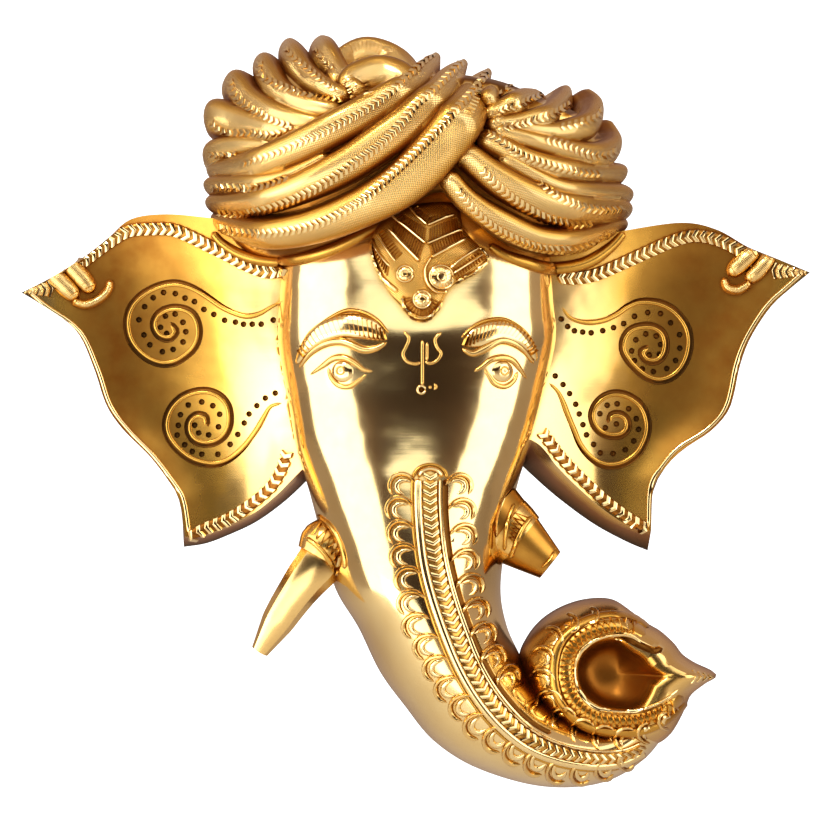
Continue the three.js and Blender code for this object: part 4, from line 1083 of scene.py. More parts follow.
EYES = [
    {"upper": [
        (-45.8, -111.3), (-40.3, -107.5), (-36.1, -104.6), (-31.5, -104.2), (-27.3, -106.3),
        (-23.5, -109.2), (-19.7, -110),
    ], "lower": [
        (-38.2, -108.4), (-37, -112.6), (-33.6, -115.9), (-29.4, -116.3), (-26, -114.2), (-22.3, -111.3),
    ], "ball": [-32.3, -110], "pupil": [-32.8, -109.6]},
    {"upper": [
        (44.5, -113), (41.6, -108.8), (38.6, -105.4), (34.4, -104.2), (29.8, -105), (26.5, -107.5),
        (22.7, -110),
    ], "lower": [
        (40.7, -110), (39.1, -113.8), (35.3, -116.3), (31.1, -115.1), (28.6, -111.7), (26.9, -108.8),
    ], "ball": [34.4, -110], "pupil": [34.9, -109.6]},
]
FORK = [
    [
        (-6.7, -93.2), (-4.6, -96.2), (-5.9, -100), (-7.1, -102.9), (-5.5, -105.8), (-2.1, -106.9),
        (0.4, -106.3),
    ],
    [(8.8, -93.7), (6.3, -96.6), (7.1, -100), (8.8, -102.5), (7.1, -105.4), (4.2, -106.7), (2.1, -105.8)],
    [(1, -97), (1, -106.7), (1, -115.9)], [(2.9, -97.9), (2.9, -102.1), (2.8, -105.8)],
    [(3.8, -115.9), (4.6, -117.2)], [(5.9, -115.1), (6.7, -116.3), (5.9, -117.6)],
]
FORK_HOLE = [0.6, -117.6]


def ring(centre, radius, half, rise, step=0.8, dark=0):
    """A raised ring drawn flat: the circle round a centre."""
    turn = np.linspace(0, 2 * np.pi, 17)[:, None]
    circle = np.array(centre) + radius * np.hstack([np.cos(turn), np.sin(turn)])
    return strip(circle, half, rise, step=step, dark=dark)


def brow_relief(brow):
    """A brow: a low crescent, hairs from its upper to its lower rim, leaning to one side, and the rims."""
    top, low = (smooth(brow[edge], HAIRS)[2:-1] for edge in ("upper", "lower"))
    lean = np.array([0.9 * brow["way"], 0])
    hairs = bars(top * 0.88 + low * 0.12 - lean, top * 0.3 + low * 0.7 + lean, width=1.3, rise=0.8)
    return [
        strip(brow["route"], brow["half"], [0.5, 1.7, 2.0, 2.0, 1.8, 0.6], arch=13),
        strip(brow["upper"], [0.3, 0.7, 0.8, 0.8, 0.5], [0.5, 1.1, 1.1, 0.7], dark=0.5),
        strip(brow["lower"], [0.5, 1.4, 1.8, 1.7, 0.8], [0.6, 2.0, 2.2, 1.2], arch=9, dark=0.3),
        moved(hairs, up=1.35, dark=0.25),
    ]


def eye_relief(eye):
    """An eye: two lids, a round ball, and a ring and a dot for the pupil."""
    return [
        strip(eye["upper"], [0.4, 1.2, 1.5, 1.2, 0.5], [0.4, 1.2, 1.4, 0.5], arch=9, dark=0.4),
        strip(eye["lower"], [0.6, 1.1, 1.1, 0.6], [0.6, 1.1, 1.1, 0.6], dark=0.4),
        studs([eye["ball"]], radius=4.5, rise=1.2, sides=28),
        moved(ring(eye["pupil"], radius=1.6, half=0.4, rise=0.4, step=0.6), up=1.1, dark=0.5),
        moved(studs([eye["pupil"]], radius=0.6, rise=0.4, sides=8), up=1.1),
    ]


def face_relief():
    """The brows, the eyes, the fork's lines and the ring round its hole."""
    parts = [part for brow in BROWS for part in brow_relief(brow)]
    parts += [part for eye in EYES for part in eye_relief(eye)]
    parts += [strip(prong, half=0.65, rise=0.6, step=0.8, dark=0.4) for prong in FORK]
    return gather(parts + [ring(FORK_HOLE, radius=1.6, half=0.5, rise=0.5, step=0.6)])


relief.append(drape(face_relief()))
cuts.append(pits([FORK_HOLE], radius=1.3, deep=1.8, sides=14))


# Forehead ornament
# A pointed leaf below the turban, built of hatched bands in chevrons, with a pair of leaves to the right,
# a panel to the left and three round bosses.
LEAF = [
    (-12, -43.5), (-20.5, -58), (-14.5, -74), (-8.5, -81.5), (0.5, -88.5), (8, -83), (13.5, -74),
    (28.5, -64), (18.5, -51), (13.5, -39.5),
]
LEAF_MIDDLE = np.array([2, -59])
LEAF_COUNT = 80
LEAF_FOOT, LEAF_TOP = -1.5, 7  # height over the forehead
LEAF_LEVELS = [
    # share of the outline, height over the forehead
    (0.4, LEAF_FOOT), (0.7, LEAF_FOOT), (0.9, LEAF_FOOT), (1.0, LEAF_FOOT), (1.0, 2.4), (0.985, 3.4),
    (0.9, 4.6), (0.7, 5.9), (0.4, 6.7),
]
LEAF_LINES = [
    # half width, rise, route
    (0.7, 1.3, [(-4.7, -41.6), (-0.8, -45.6), (3.1, -49.2)]),
    (0.7, 1.3, [(3.1, -49.2), (8.8, -46.6), (14.7, -44.3)]),
    (0.8, 1.4, [(-12, -44.8), (-4.6, -51), (2.6, -56.9)]),
    (0.8, 1.4, [(2.6, -56.9), (10.5, -53.5), (18.1, -50.4)]),
    (0.9, 1.5, [(-13, -50.4), (-6.7, -57.5), (0, -64.3)]),
    (0.9, 1.5, [(4.2, -62.6), (11.3, -58.8), (19.3, -54.6)]),
    (0.6, 1.1, [(-18.2, -52.3), (-14.3, -58.4), (-10.3, -64.3)]),
    (0.6, 1.1, [(-20.6, -54.2), (-17.2, -60.5), (-12.6, -66.4)]),
    (0.9, 1.4, [(-23.6, -54.6), (-22.3, -60.5), (-18.9, -66.4), (-14.7, -71.8), (-9.2, -76.9)]),
    (0.7, 1.2, [(12.2, -67.2), (17.6, -62.6), (24.4, -58.6)]),
    (0.8, 1.3, [(15.1, -72.2), (21.4, -69.7), (28.1, -63.8)]),
    (0.6, 1.1, [(13.4, -69.3), (19.3, -65.5), (26.9, -60.5)]),
    (0.6, 1.2, [(24.4, -58.6), (27.7, -59.6), (28.1, -63.8)]),
    (0.7, 1.6, [(4.6, -62.2), (2.1, -67.2), (2.9, -73.1), (6.7, -76.9), (11.3, -76.4)]),
    (0.8, 1.7, [(-7.1, -78.5), (-5.9, -83.6), (0, -87.4), (5.9, -85.7), (8.8, -80.6)]),
]
LEAF_BANDS = [
    # how many bars, and the two edges that they are laid between
    (7, [(-3.8, -43.3), (2.9, -48.7)], [(-0.8, -41.2), (4.6, -45.8)]),
    (6, [(3.8, -48.7), (13.4, -44.5)], [(4.6, -45.8), (10.9, -41.2)]),
    (13, [(-11.3, -45.8), (2.1, -56.3)], [(-8, -43.3), (2.9, -50.4)]),
    (12, [(3.4, -56.3), (16.8, -50.8)], [(3.8, -50.4), (15.1, -45.4)]),
    (14, [(-12.2, -51.2), (0, -63)], [(-10.5, -47), (2.1, -57.5)]),
    (13, [(4.6, -61.7), (18.9, -55)], [(3.4, -57.5), (17.6, -51.2)]),
    (12, [(-22.7, -55.9), (-13.4, -71)], [(-20.6, -54.6), (-12.6, -66.4)]),
    (10, [(-18.1, -52.9), (-10.1, -63.8)], [(-15.1, -50.8), (-7.1, -60.9)]),
    (11, [(12.6, -68), (25.2, -59.2)], [(13.9, -70.1), (26.9, -60.9)]),
    (12, [(14.7, -71.8), (27.7, -63)], [(13.9, -69.7), (26.9, -60.5)]),
    (15, [(-6.3, -79), (-4.6, -83.6), (0, -86.5), (5, -84.8), (7.6, -80.2)], [
        (-3.8, -78.5), (-2.5, -81.9), (0.4, -83.6), (3.4, -82.3), (5, -79.4),
    ]),
]
LEAF_BOSSES = [
    # centre, radius, rise
    ([-6.2, -69.3], 3.4, 0.9), ([8.8, -70.6], 5, 1.3), ([0.9, -80], 3.6, 1.3),
]


def leaf_plate():
    """The leaf's plate: its outline drawn in by shares, each ring raised on the forehead."""
    rim = smooth(LEAF, LEAF_COUNT, closed=True)
    rings = []
    for share, high in LEAF_LEVELS:
        place = LEAF_MIDDLE + (rim - LEAF_MIDDLE) * share
        rings.append(at(*place.T, front_depth(forms, *place.T) + high))
    rings = np.stack(rings)
    ground = front_depth(forms, LEAF_MIDDLE[:1], LEAF_MIDDLE[1:])[0]
    ends = (at(*LEAF_MIDDLE, ground + high) for high in (LEAF_FOOT, LEAF_TOP))
    hatched_and_dark = np.broadcast_to([0.8, 0.4], (*rings.shape[:2], 2))
    return loft(rings, *ends, np.concatenate([rings[..., [0, 2]], hatched_and_dark], -1))


def leaf_boss(centre, radius, rise):
    """A boss: a domed stud with a ring round it, one in its middle, and spokes between them."""
    turn = np.linspace(0, 2 * np.pi, int(radius * 3.4), endpoint=False)[:, None]
    spoke = np.hstack([np.cos(turn), np.sin(turn)]) * radius
    spokes = bars(centre + spoke * 0.5, centre + spoke * 0.85, width=0.7, rise=0.55)
    return [
        studs([centre], radius, rise, sides=24), ring(centre, radius * 0.98, half=0.55, rise=0.9),
        moved(ring(centre, radius * 0.35, half=0.35, rise=0.5, step=0.6), up=rise * 0.9),
        moved(spokes, up=rise * 0.6),
    ]


def leaf_relief():
    """The leaf's raised lines, the bars of its bands, at even shares of both edges, and its bosses."""
    parts = [strip(route, half, rise, step=0.9) for half, rise, route in LEAF_LINES]
    for count, first, second in LEAF_BANDS:
        t = np.linspace(0.04, 0.96, count)
        parts.append(bars(spline(first, t), spline(second, t), width=0.9, rise=0.9))
    return gather(parts + [part for boss in LEAF_BOSSES for part in leaf_boss(*boss)])


plate = leaf_plate()
leaf_forms = mesh_object("leaf_forms", plate)
bpy.context.scene.collection.objects.link(leaf_forms)
relief += [plate, drape(leaf_relief(), leaf_forms, LEAF_MIDDLE)]


# Trunk ornament
# A channel of chevrons between two rims runs down the middle and round under the curl, with a row of
# hooked scales along each side of it.
CHANNEL = [
    (4.2, -154.6), (4.2, -167.6), (5.9, -186.1), (9.2, -201.2), (14.3, -216.7), (21.4, -233.9),
    (30.7, -248.6), (42.8, -260.8), (56.7, -268), (73.5, -271.3), (86.5, -270.1), (93.2, -267.1),
]
CHANNEL_HALF = [3.4, 3.6, 3.6, 3.6, 3.4, 3.2, 3.0, 2.8, 2.6, 2.4, 2.2, 1.8]
SCALE_ROWS = [
    {"route": [
        (-7.6, -157.5), (-8.8, -168.8), (-8, -178.5), (-6.7, -188.6), (-4.6, -198.2), (-3.4, -208.7),
        (-0.8, -218), (3.8, -226), (7.6, -234.8), (12.2, -242.8), (19.7, -252), (25.2, -259.1),
        (34, -264.6), (42.4, -270.1), (51.7, -274.7), (61.3, -278), (73.5, -277.6), (80.6, -275.5),
        (86.1, -273),
    ], "count": 19, "sizes": [5, 5.2, 5.2, 5.2, 5, 3.6], "way": 1},
    {"route": [
        (16.4, -157.5), (17.6, -168.8), (18.5, -179.8), (19.3, -190.7), (21.4, -200.8), (23.9, -210.4),
        (26.9, -220.5), (31.1, -230.2), (37, -237.7),
    ], "count": 9, "sizes": [4.8, 5, 5, 4.6], "way": -1},
    {"route": [
        (71.4, -212.1), (64.7, -214.2), (58.4, -218.4), (53.3, -225.1), (51.2, -233.9), (52.5, -243.2),
        (57.1, -251.6), (64.7, -257.9), (74.8, -261.7), (86.1, -262.9), (95.8, -260), (102.5, -255.4),
    ], "count": 12, "sizes": [3, 4.2, 4.8, 5, 4.8, 3.6], "way": -1},
]
SCALE_TURN = np.radians([-52, -20, 15, 50, 85, 120, 150, 172])
SCALE_REACH = np.array([1.1, 1.02, 1, 1, 1, 1.02, 1.08, 1.22])
HOOK_RIGHT = np.array([0.75, 0.2, -0.3, -0.42, -0.15, 0.3])
HOOK_AHEAD = np.array([-0.38, -0.5, -0.28, 0.15, 0.55, 0.7])


def scale(place, forward, left, size):
    """One scale drawn flat in its own directions: a C-shaped rim that tapers to a point, and a hook."""
    def spot(right, ahead):
        return place + size * (np.outer(right, left) + np.outer(ahead, forward))

    rim = spot(-np.cos(SCALE_TURN) * SCALE_REACH, -np.sin(SCALE_TURN) * SCALE_REACH * 0.97)
    hook = spot(HOOK_RIGHT, HOOK_AHEAD)
    rim_half, rim_rise = [0.5, 0.9, 1.0, 1.0, 0.95, 0.8, 0.6], [0.8, 1.5, 1.6, 1.6, 1.5, 1.4, 0.9]
    return [
        strip(rim, rim_half, rim_rise, arch=6, step=1.3, dark=0.25),
        strip(hook, half=[0.5, 1.0, 1.2, 1.1, 0.4], rise=[0.6, 1.0, 1.2, 1.0, 0.3], arch=6, step=1.1),
    ]


def over_channel(across, up, above):
    """A half oval over the channel's upper end."""
    turn = np.radians(np.linspace(180, 0, 9))
    return np.array(CHANNEL[0]) + np.column_stack([across * np.cos(turn), up * np.sin(turn) + above])


def channel_relief():
    """The channel's floor, its rims and the thin outer edge, which close over its top, and chevrons."""
    left_rim = offset(CHANNEL, [-4.9, -4.9, -4.8, -4.4, -3.8, -3.1], 60)[::3]
    edge = offset(CHANNEL, [-7.3, -7.3, -7.1, -6.5, -5.6, -4.6], 60)[::3]
    right_rim = offset(CHANNEL, [3.9, 3.9, 3.8, 3.6, 3.2, 2.7], 60)[::3]
    reach = [2.7, 2.9, 2.8, 2.6, 2.2, 1.6]
    vees_on_floor = chevron_row(CHANNEL, pitch=3.4, reach=reach, lean=1.7, width=2.4, rise=1.2)
    return [
        strip(CHANNEL, CHANNEL_HALF, rise=0.4, dark=0.5),
        strip(left_rim, half=[1.9, 2.0, 1.7, 1.1], rise=[1.8, 1.9, 1.7, 1.1], arch=9),
        strip(edge, half=[0.7, 0.8, 0.8, 0.6], rise=[0.7, 0.8, 0.7, 0.5], dark=0.6),
        strip(right_rim, half=[0.6, 0.7, 0.7, 0.5], rise=[1.6, 1.6, 1.4, 1.0]),
        strip(over_channel(across=4.8, up=3.8, above=0.4), half=1.1, rise=1.7),
        strip(over_channel(across=7.0, up=5.6, above=0.2), half=0.8, rise=0.8, dark=0.6),
        moved(vees_on_floor, up=0.3),
    ]


def trunk_relief():
    """The channel, and scales at even distances along their rows, with sizes that follow each row."""
    parts = channel_relief()
    for row in SCALE_ROWS:
        line = smooth(row["route"], row["count"] - 1)
        forward, side = sides_of(line)
        sizes = along(row["sizes"], np.linspace(0, 1, row["count"]))
        for place, ahead, left, size in zip(line, forward, side * row["way"], sizes):
            parts += scale(place, ahead, left, size)
    return gather(parts)


relief.append(drape(trunk_relief(), middle=CURL_MIDDLE + (0, 6), lowest=24))
cuts.append(groove(offset(CHANNEL, [6.4, 6.6, 6.5, 6.2, 5.6], 60)[:46:3], half=1.2, deep=1.0))


# Cup ornament
# A band of crossed lines runs round the cup, between a raised bead and its lip. A fold runs down into
# the cup from its upper right.
CUP_BAND = [
    (94.1, -219.7), (89.9, -217.1), (84, -215.9), (76, -216.7), (68.9, -219.7), (63.8, -224.3),
    (61.3, -230.2), (60.9, -237.3), (62.6, -244.4), (66.8, -250.3), (72.7, -254.1), (80.5, -255.4),
    (89.5, -255.6), (97.2, -253.5), (103.9, -250.2), (110, -245.7),
]
CUP_FOLD = [(80.6, -220.1), (86.5, -221.3), (92.4, -224.3), (97.4, -226.2), (101.2, -225.5)]
CUP_POINT = [(115.1, -237.3), (118.4, -237.5), (122.2, -237.7)]


def cup_relief():
    """The cup's band with its crossed bars, the bead outside it, its lip and the chevrons on its point."""
    bead = offset(CUP_BAND, [-3.2, -4.6, -5, -5, -5, -5, -5, -5, -4.6, -3.6], 60)[::2]
    lip = offset(CUP_BAND, 3.9, 60)[::2]
    low, high = (offset(CUP_BAND, way * 2.6, int(length(CUP_BAND) / 2.5)) for way in (-1, 1))
    parts = []
    for first, second in ((low, high), (high, low)):
        for start in (0, 1):
            crossed = bars(first[start + 2:-3:2], second[start + 3:-2:2], width=1.4, rise=0.9)
            parts.append(moved(crossed, up=0.8))
    vees_on_point = chevron_row(CUP_POINT, pitch=2.2, reach=[2.6, 1.8, 0.9], lean=1.4, width=1.5, rise=0.8)
    return gather(parts + [
        strip(CUP_BAND, half=[2.0, 3.2, 3.2, 3.2, 2.2], rise=[0.6, 1.0, 1.0, 0.6], arch=9, dark=0.5),
        strip(bead, half=[1.0, 2.0, 2.0, 1.2], rise=[0.8, 1.5, 1.5, 0.8], arch=9, dark=0.7),
        strip(lip, half=[0.4, 0.9, 0.9, 0.5], rise=[0.5, 1.2, 1.2, 0.6]),
        moved(vees_on_point, up=0.1),
    ])


relief.append(drape(cup_relief(), middle=CURL_MIDDLE, lowest=24))
cuts.append(groove(CUP_FOLD, half=1.5, deep=1.6))


# Collars
# The tusks' collars are chased with a zigzag between two rims. The stub has a third rim near its end.
COLLARS = [
    {"rims": [
        (0.9, [(-43.3, -169.7), (-37.2, -175.1), (-33.4, -181.4), (-31.7, -187.3), (-31.5, -192.4)]),
        (1, [(-47.5, -179.3), (-42.2, -183.5), (-37.8, -189), (-34.4, -195.3)]),
    ], "upper": [(-43.3, -171.4), (-37.8, -176.8), (-34.4, -183.1), (-32.8, -189.8)], "lower": [
        (-46.2, -177.7), (-41.6, -181.9), (-37.4, -186.9), (-34, -192.4),
    ]},
    {"rims": [
        (0.8, [(39.5, -165.1), (37, -171.4), (35.7, -178.1), (35.3, -184.8)]),
        (1, [(46.6, -170.5), (42.4, -176.4), (39.9, -181.9), (37.8, -188.2)]),
        (0.45, [(56.3, -184.8), (54.2, -188.6), (50.8, -191.9)]),
    ], "upper": [(39.9, -167.6), (37.8, -173.9), (36.5, -180.6)],
     "lower": [(45.4, -170.5), (41.6, -176), (39.1, -181.9)]},
]


def collar_relief():
    """The collars' rims, and a zigzag of bars between two edges, at even shares of both."""
    parts = []
    t = np.linspace(0.05, 0.95, 13)
    for collar in COLLARS:
        parts += [strip(route, half, rise=1.1, dark=0.5) for half, route in collar["rims"]]
        upper, lower = (spline(edge, t) for edge in (collar["upper"], collar["lower"]))
        parts.append(bars(lower[:-1:2], upper[1::2], width=1.2, rise=0.9))
        parts.append(bars(upper[1::2], lower[2::2], width=1.2, rise=0.9))
    return gather(parts)


tusk_forms = mesh_object("tusk_forms", gather([head, *tusks]))
bpy.context.scene.collection.objects.link(tusk_forms)
relief.append(drape(collar_relief(), tusk_forms))


# Chased casting
# The cuts are taken out of the casting and the relief is joined to it, so that the mask is one piece.
# Dark polish and painted shade stay in the cuts and on the ears, and most on the low sides, which no wheel
# reaches, as tarnish with painted shade.
for tool in cuts:
    casting = combine(casting, "DIFFERENCE", [mesh_object("cut", drape(tool))])
MASK_MIDDLE = 1
EAR_POLISH_AND_SHADE = [0.14, 0.34, 0.65, 0.85, 0.95, 0.85, 0.1]  # dark polish and painted shade, from the cheek to the tip
EAR_SHADE_FROM, EAR_SHADE_TO = 55, 165  # mm off the middle
EAR_ZONE = {"from_middle": 44, "low": -188, "high": -42, "deepest": 38}
# painted shade, with tarnish, on the low sides, growing towards the wall
SIDE_ZONE = {"below": -100, "from": 26, "to": 8}
CUT_ZONE = {"below": -42, "shallow": 0.15, "deep": 2.5}
# painted shadow in the cut grooves and punched pits, with dark polish left in them
CUT_POLISH_AND_SHADE = 1.5
TARNISH_AND_SHADE_LEVEL = 2
TARNISH_AND_SHADE_DEPTH, EAR_TARNISH_AND_SHADE_DEPTH = 7, 11.5  # what lies nearer the wall is coloured as raw tarnish with painted shade


def values_of(mesh, name):
    """One of a mesh's attributes as an array: a row for each vector, or a number for each value."""
    data = mesh.attributes[name].data
    vector = mesh.attributes[name].data_type == "FLOAT_VECTOR"
    values = np.zeros(len(data) * (3 if vector else 1))
    data.foreach_get("vector" if vector else "value", values)
    return values.reshape(-1, 3) if vector else values


def polish_and_shade_by_place(mesh):
    """Dark polish and painted shade by place: on the ears it follows the distance from the middle of the
    mask.
    It is over 1 where the surface lies below the uncut forms, and most near the wall, on sides that no wheel
    reaches, where tarnish and painted shade go together."""
    x, y, z = values_of(mesh, "position").T / MM
    kept = values_of(mesh, "polish_and_shade")
    plain = values_of(mesh, "weave")[:, 2] == 0
    from_middle = (np.abs(x - MASK_MIDDLE) - EAR_SHADE_FROM) / (EAR_SHADE_TO - EAR_SHADE_FROM)
    ear = plain & (z < EAR_ZONE["high"]) & (z > EAR_ZONE["low"])
    ear &= (y > -EAR_ZONE["deepest"]) & (np.abs(x) > EAR_ZONE["from_middle"])
    # dark polish and painted shade on the ears, by the distance from the middle
    kept = np.where(ear, along(EAR_POLISH_AND_SHADE, from_middle), kept)
    # painted shade with tarnish on the low sides near the wall
    side = np.clip((SIDE_ZONE["from"] + y) / (SIDE_ZONE["from"] - SIDE_ZONE["to"]), 0, 1)
    kept = np.where(plain & ~ear & (z < SIDE_ZONE["below"]), np.maximum(kept, TARNISH_AND_SHADE_LEVEL * side), kept)
    below = front_depth(forms, x, z) + y
    # painted shadow inside the cuts, with dark polish
    cut = plain & (below > CUT_ZONE["shallow"]) & (below < CUT_ZONE["deep"]) & (z < CUT_ZONE["below"])
    kept = np.where(cut, CUT_POLISH_AND_SHADE, kept)
    # what lies nearest the wall gets tarnish and painted shade in full
    kept = np.where(plain & (y > -np.where(ear, EAR_TARNISH_AND_SHADE_DEPTH, TARNISH_AND_SHADE_DEPTH)), TARNISH_AND_SHADE_LEVEL, kept)
    mesh.attributes["polish_and_shade"].data.foreach_set("value", kept)


def join_relief(old, extra):
    """One mesh of the casting and the relief's closed bodies. A face is inside the hollow where any of
    its corners is, by the largest of their values."""
    count = len(old.vertices)
    added = [tuple(t) for t in (extra["triangles"] + count).tolist()]
    faces = [tuple(p.vertices) for p in old.polygons] + added
    points = np.vstack([values_of(old, "position"), extra["points"] * MM])
    starts, corners = np.zeros(len(old.polygons), int), np.zeros(len(old.loops), int)
    old.polygons.foreach_get("loop_start", starts)
    old.loops.foreach_get("vertex_index", corners)
    inner = np.maximum.reduceat(values_of(old, "inside")[corners], starts)
    weave = np.vstack([values_of(old, "weave"), extra["marks"][:, :3]])
    polish_and_shade = np.concatenate([values_of(old, "polish_and_shade"), extra["marks"][:, 3]])
    joined = bpy.data.meshes.new("ganesha_mask")
    joined.from_pydata(points.tolist(), [], faces)
    for key, form, on, kind, values in (
        ("inside", "FLOAT", "FACE", "value", np.concatenate([inner, np.zeros(len(added))])),
        ("weave", "FLOAT_VECTOR", "POINT", "vector", weave), ("polish_and_shade", "FLOAT", "POINT", "value", polish_and_shade),
    ):
        joined.attributes.new(key, form, on).data.foreach_set(kind, values.ravel())
    return joined


polish_and_shade_by_place(casting.data)
mask = bpy.data.objects.new("ganesha_mask", join_relief(casting.data, gather(relief)))
bpy.context.scene.collection.objects.link(mask)
for helper in (casting, forms, turban_forms, tusk_forms, leaf_forms):
    bpy.data.objects.remove(helper)
SHARP_EDGE = np.radians(38)
mask.data.shade_smooth()
mask.data.set_sharp_from_angle(angle=SHARP_EDGE)
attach(mask, "root")
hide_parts("mask_casting")


# Polished cast brass
# Yellow brass, cast in sand, then filed, chased and buffed. The high places are near mirror bright with
# faint buffing marks; dark orange lacquer and polish stay in every recess, with painted shade there too.
# Inside it is left as cast.
RECESS_REACH = 6  # mm that a recess's walls may be apart, for the painted shade in it
PATCH_SIZE = 11.1  # mm, unevenly wiped polish
DENT_SIZE = 26.3  # mm, what the file left uneven
DENT_DEPTH = 4  # mm, much softened by the bump's strength
BUFFING = (71.4, 71.4, 1.11)  # mm, marks far wider than the real ones, which wouldn't show
BUFFING_DEPTH = 0.05
HATCH_PITCH = 1.15  # mm between the hatching's lines, a little coarser than the real ones, to show
HATCH_SLANT = 1.2
HATCH_DEPTH = 0.1
HATCH_DARK = 0.55
BRIGHT, BRIGHTEST = "#F1D38E", "#F8E2A6"  # buffed
GOLD = "#D6A548"  # a little lacquer, and light painted shade
AMBER = "#965E20"  # thick lacquer and deep painted shade in a recess
TARNISH_AND_SHADE = "#4A300C"  # tarnished side that no wheel reached, which is also painted shade on the low sides
AS_CAST = "#A07A3C"
GOLD_AT = 0.55  # darkening at which the colour is all gold


def linear(hex_colour):
    """An sRGB hex colour as linear red, green, blue and 1: each channel c above 0.04045 becomes
    ((c + 0.055) / 1.055) to the power 2.4, and below it c / 12.92."""
    c = np.array([int(hex_colour[i:i + 2], 16) for i in (1, 3, 5)]) / 255
    return (*np.where(c > 0.04045, ((c + 0.055) / 1.055) ** 2.4, c / 12.92), 1.0)


def node(tree, kind, settings=None, out=0, **links):
    """One output of a new shader node with its settings, and its inputs set to values or linked from
    other outputs. An input is named, with _ for a space, or numbered as in _0."""
    made = tree.nodes.new("ShaderNode" + kind)
    for key, value in (settings or {}).items():
        setattr(made, key, value)
    for key, value in links.items():
        socket = made.inputs[int(key[1:]) if key[0] == "_" else key.replace("_", " ")]
        if isinstance(value, bpy.types.NodeSocket):
            tree.links.new(value, socket)
        else:
            socket.default_value = value
    return made.outputs[out] if made.outputs else made


MULTIPLY, MULTIPLY_ADD = {"operation": "MULTIPLY"}, {"operation": "MULTIPLY_ADD"}


def hatching(tree):
    """Depth of the crossed hatching, 0 to 1: two sets of thin lines that slant across a roll, each a power
    of the sine of mm across the set, faded by how much the place is hatched."""
    weave = node(tree, "Attribute", {"attribute_name": "weave"}, out="Vector")
    run, across, hatched = (node(tree, "SeparateXYZ", out=axis, _0=weave) for axis in "XYZ")
    lines = []
    for way in (HATCH_SLANT, -HATCH_SLANT):
        place = node(tree, "Math", MULTIPLY_ADD, _0=across, _1=way, _2=run)
        turn = node(tree, "Math", MULTIPLY, _0=place, _1=2 * np.pi / HATCH_PITCH)
        wave = node(tree, "Math", {"operation": "SINE"}, _0=turn)
        share = node(tree, "Math", MULTIPLY_ADD, _0=wave, _1=0.5, _2=0.5)
        lines.append(node(tree, "Math", {"operation": "POWER"}, _0=share, _1=7.0))
    both = node(tree, "Math", {"operation": "MAXIMUM"}, _0=lines[0], _1=lines[1])
    return node(tree, "Math", MULTIPLY, _0=both, _1=hatched)


def brass_colour(tree, mottle, dark, tarnish_and_shade, inside):
    """Buffed brass that goes through gold to amber with the darkening, dark polish and painted shade
    together, is tarnished where unpolished, with painted shade there too, and plain inside."""
    bright = node(tree, "MixRGB", _0=mottle, _1=linear(BRIGHT), _2=linear(BRIGHTEST))
    to_gold = node(tree, "MapRange", Value=dark, From_Max=GOLD_AT)
    to_amber = node(tree, "MapRange", Value=dark, From_Min=GOLD_AT)
    gold = node(tree, "MixRGB", _0=to_gold, _1=bright, _2=linear(GOLD))
    amber = node(tree, "MixRGB", _0=to_amber, _1=gold, _2=linear(AMBER))
    outside = node(tree, "MixRGB", _0=tarnish_and_shade, _1=amber, _2=linear(TARNISH_AND_SHADE))
    return node(tree, "MixRGB", _0=inside, _1=outside, _2=linear(AS_CAST))


def brass_bump(tree, place, hatch):
    """The file's dents, the buffing marks drawn out across the mask, and the cut hatching."""
    dents = node(tree, "TexNoise", Vector=place, Scale=1 / (DENT_SIZE * MM), Detail=2.0)
    dented = node(tree, "Bump", Strength=0.12, Distance=DENT_DEPTH * MM, Height=dents)
    drawn_out = node(tree, "Mapping", Vector=place, Scale=[1 / (size * MM) for size in BUFFING])
    marks = node(tree, "TexNoise", Vector=drawn_out, Scale=1.0, Detail=3.0)
    buffed = node(tree, "Bump", Strength=0.1, Distance=BUFFING_DEPTH * MM, Height=marks, Normal=dented)
    cut_in = {"invert": True}
    return node(tree, "Bump", cut_in, Strength=1.0, Distance=HATCH_DEPTH * MM, Height=hatch, Normal=buffed)


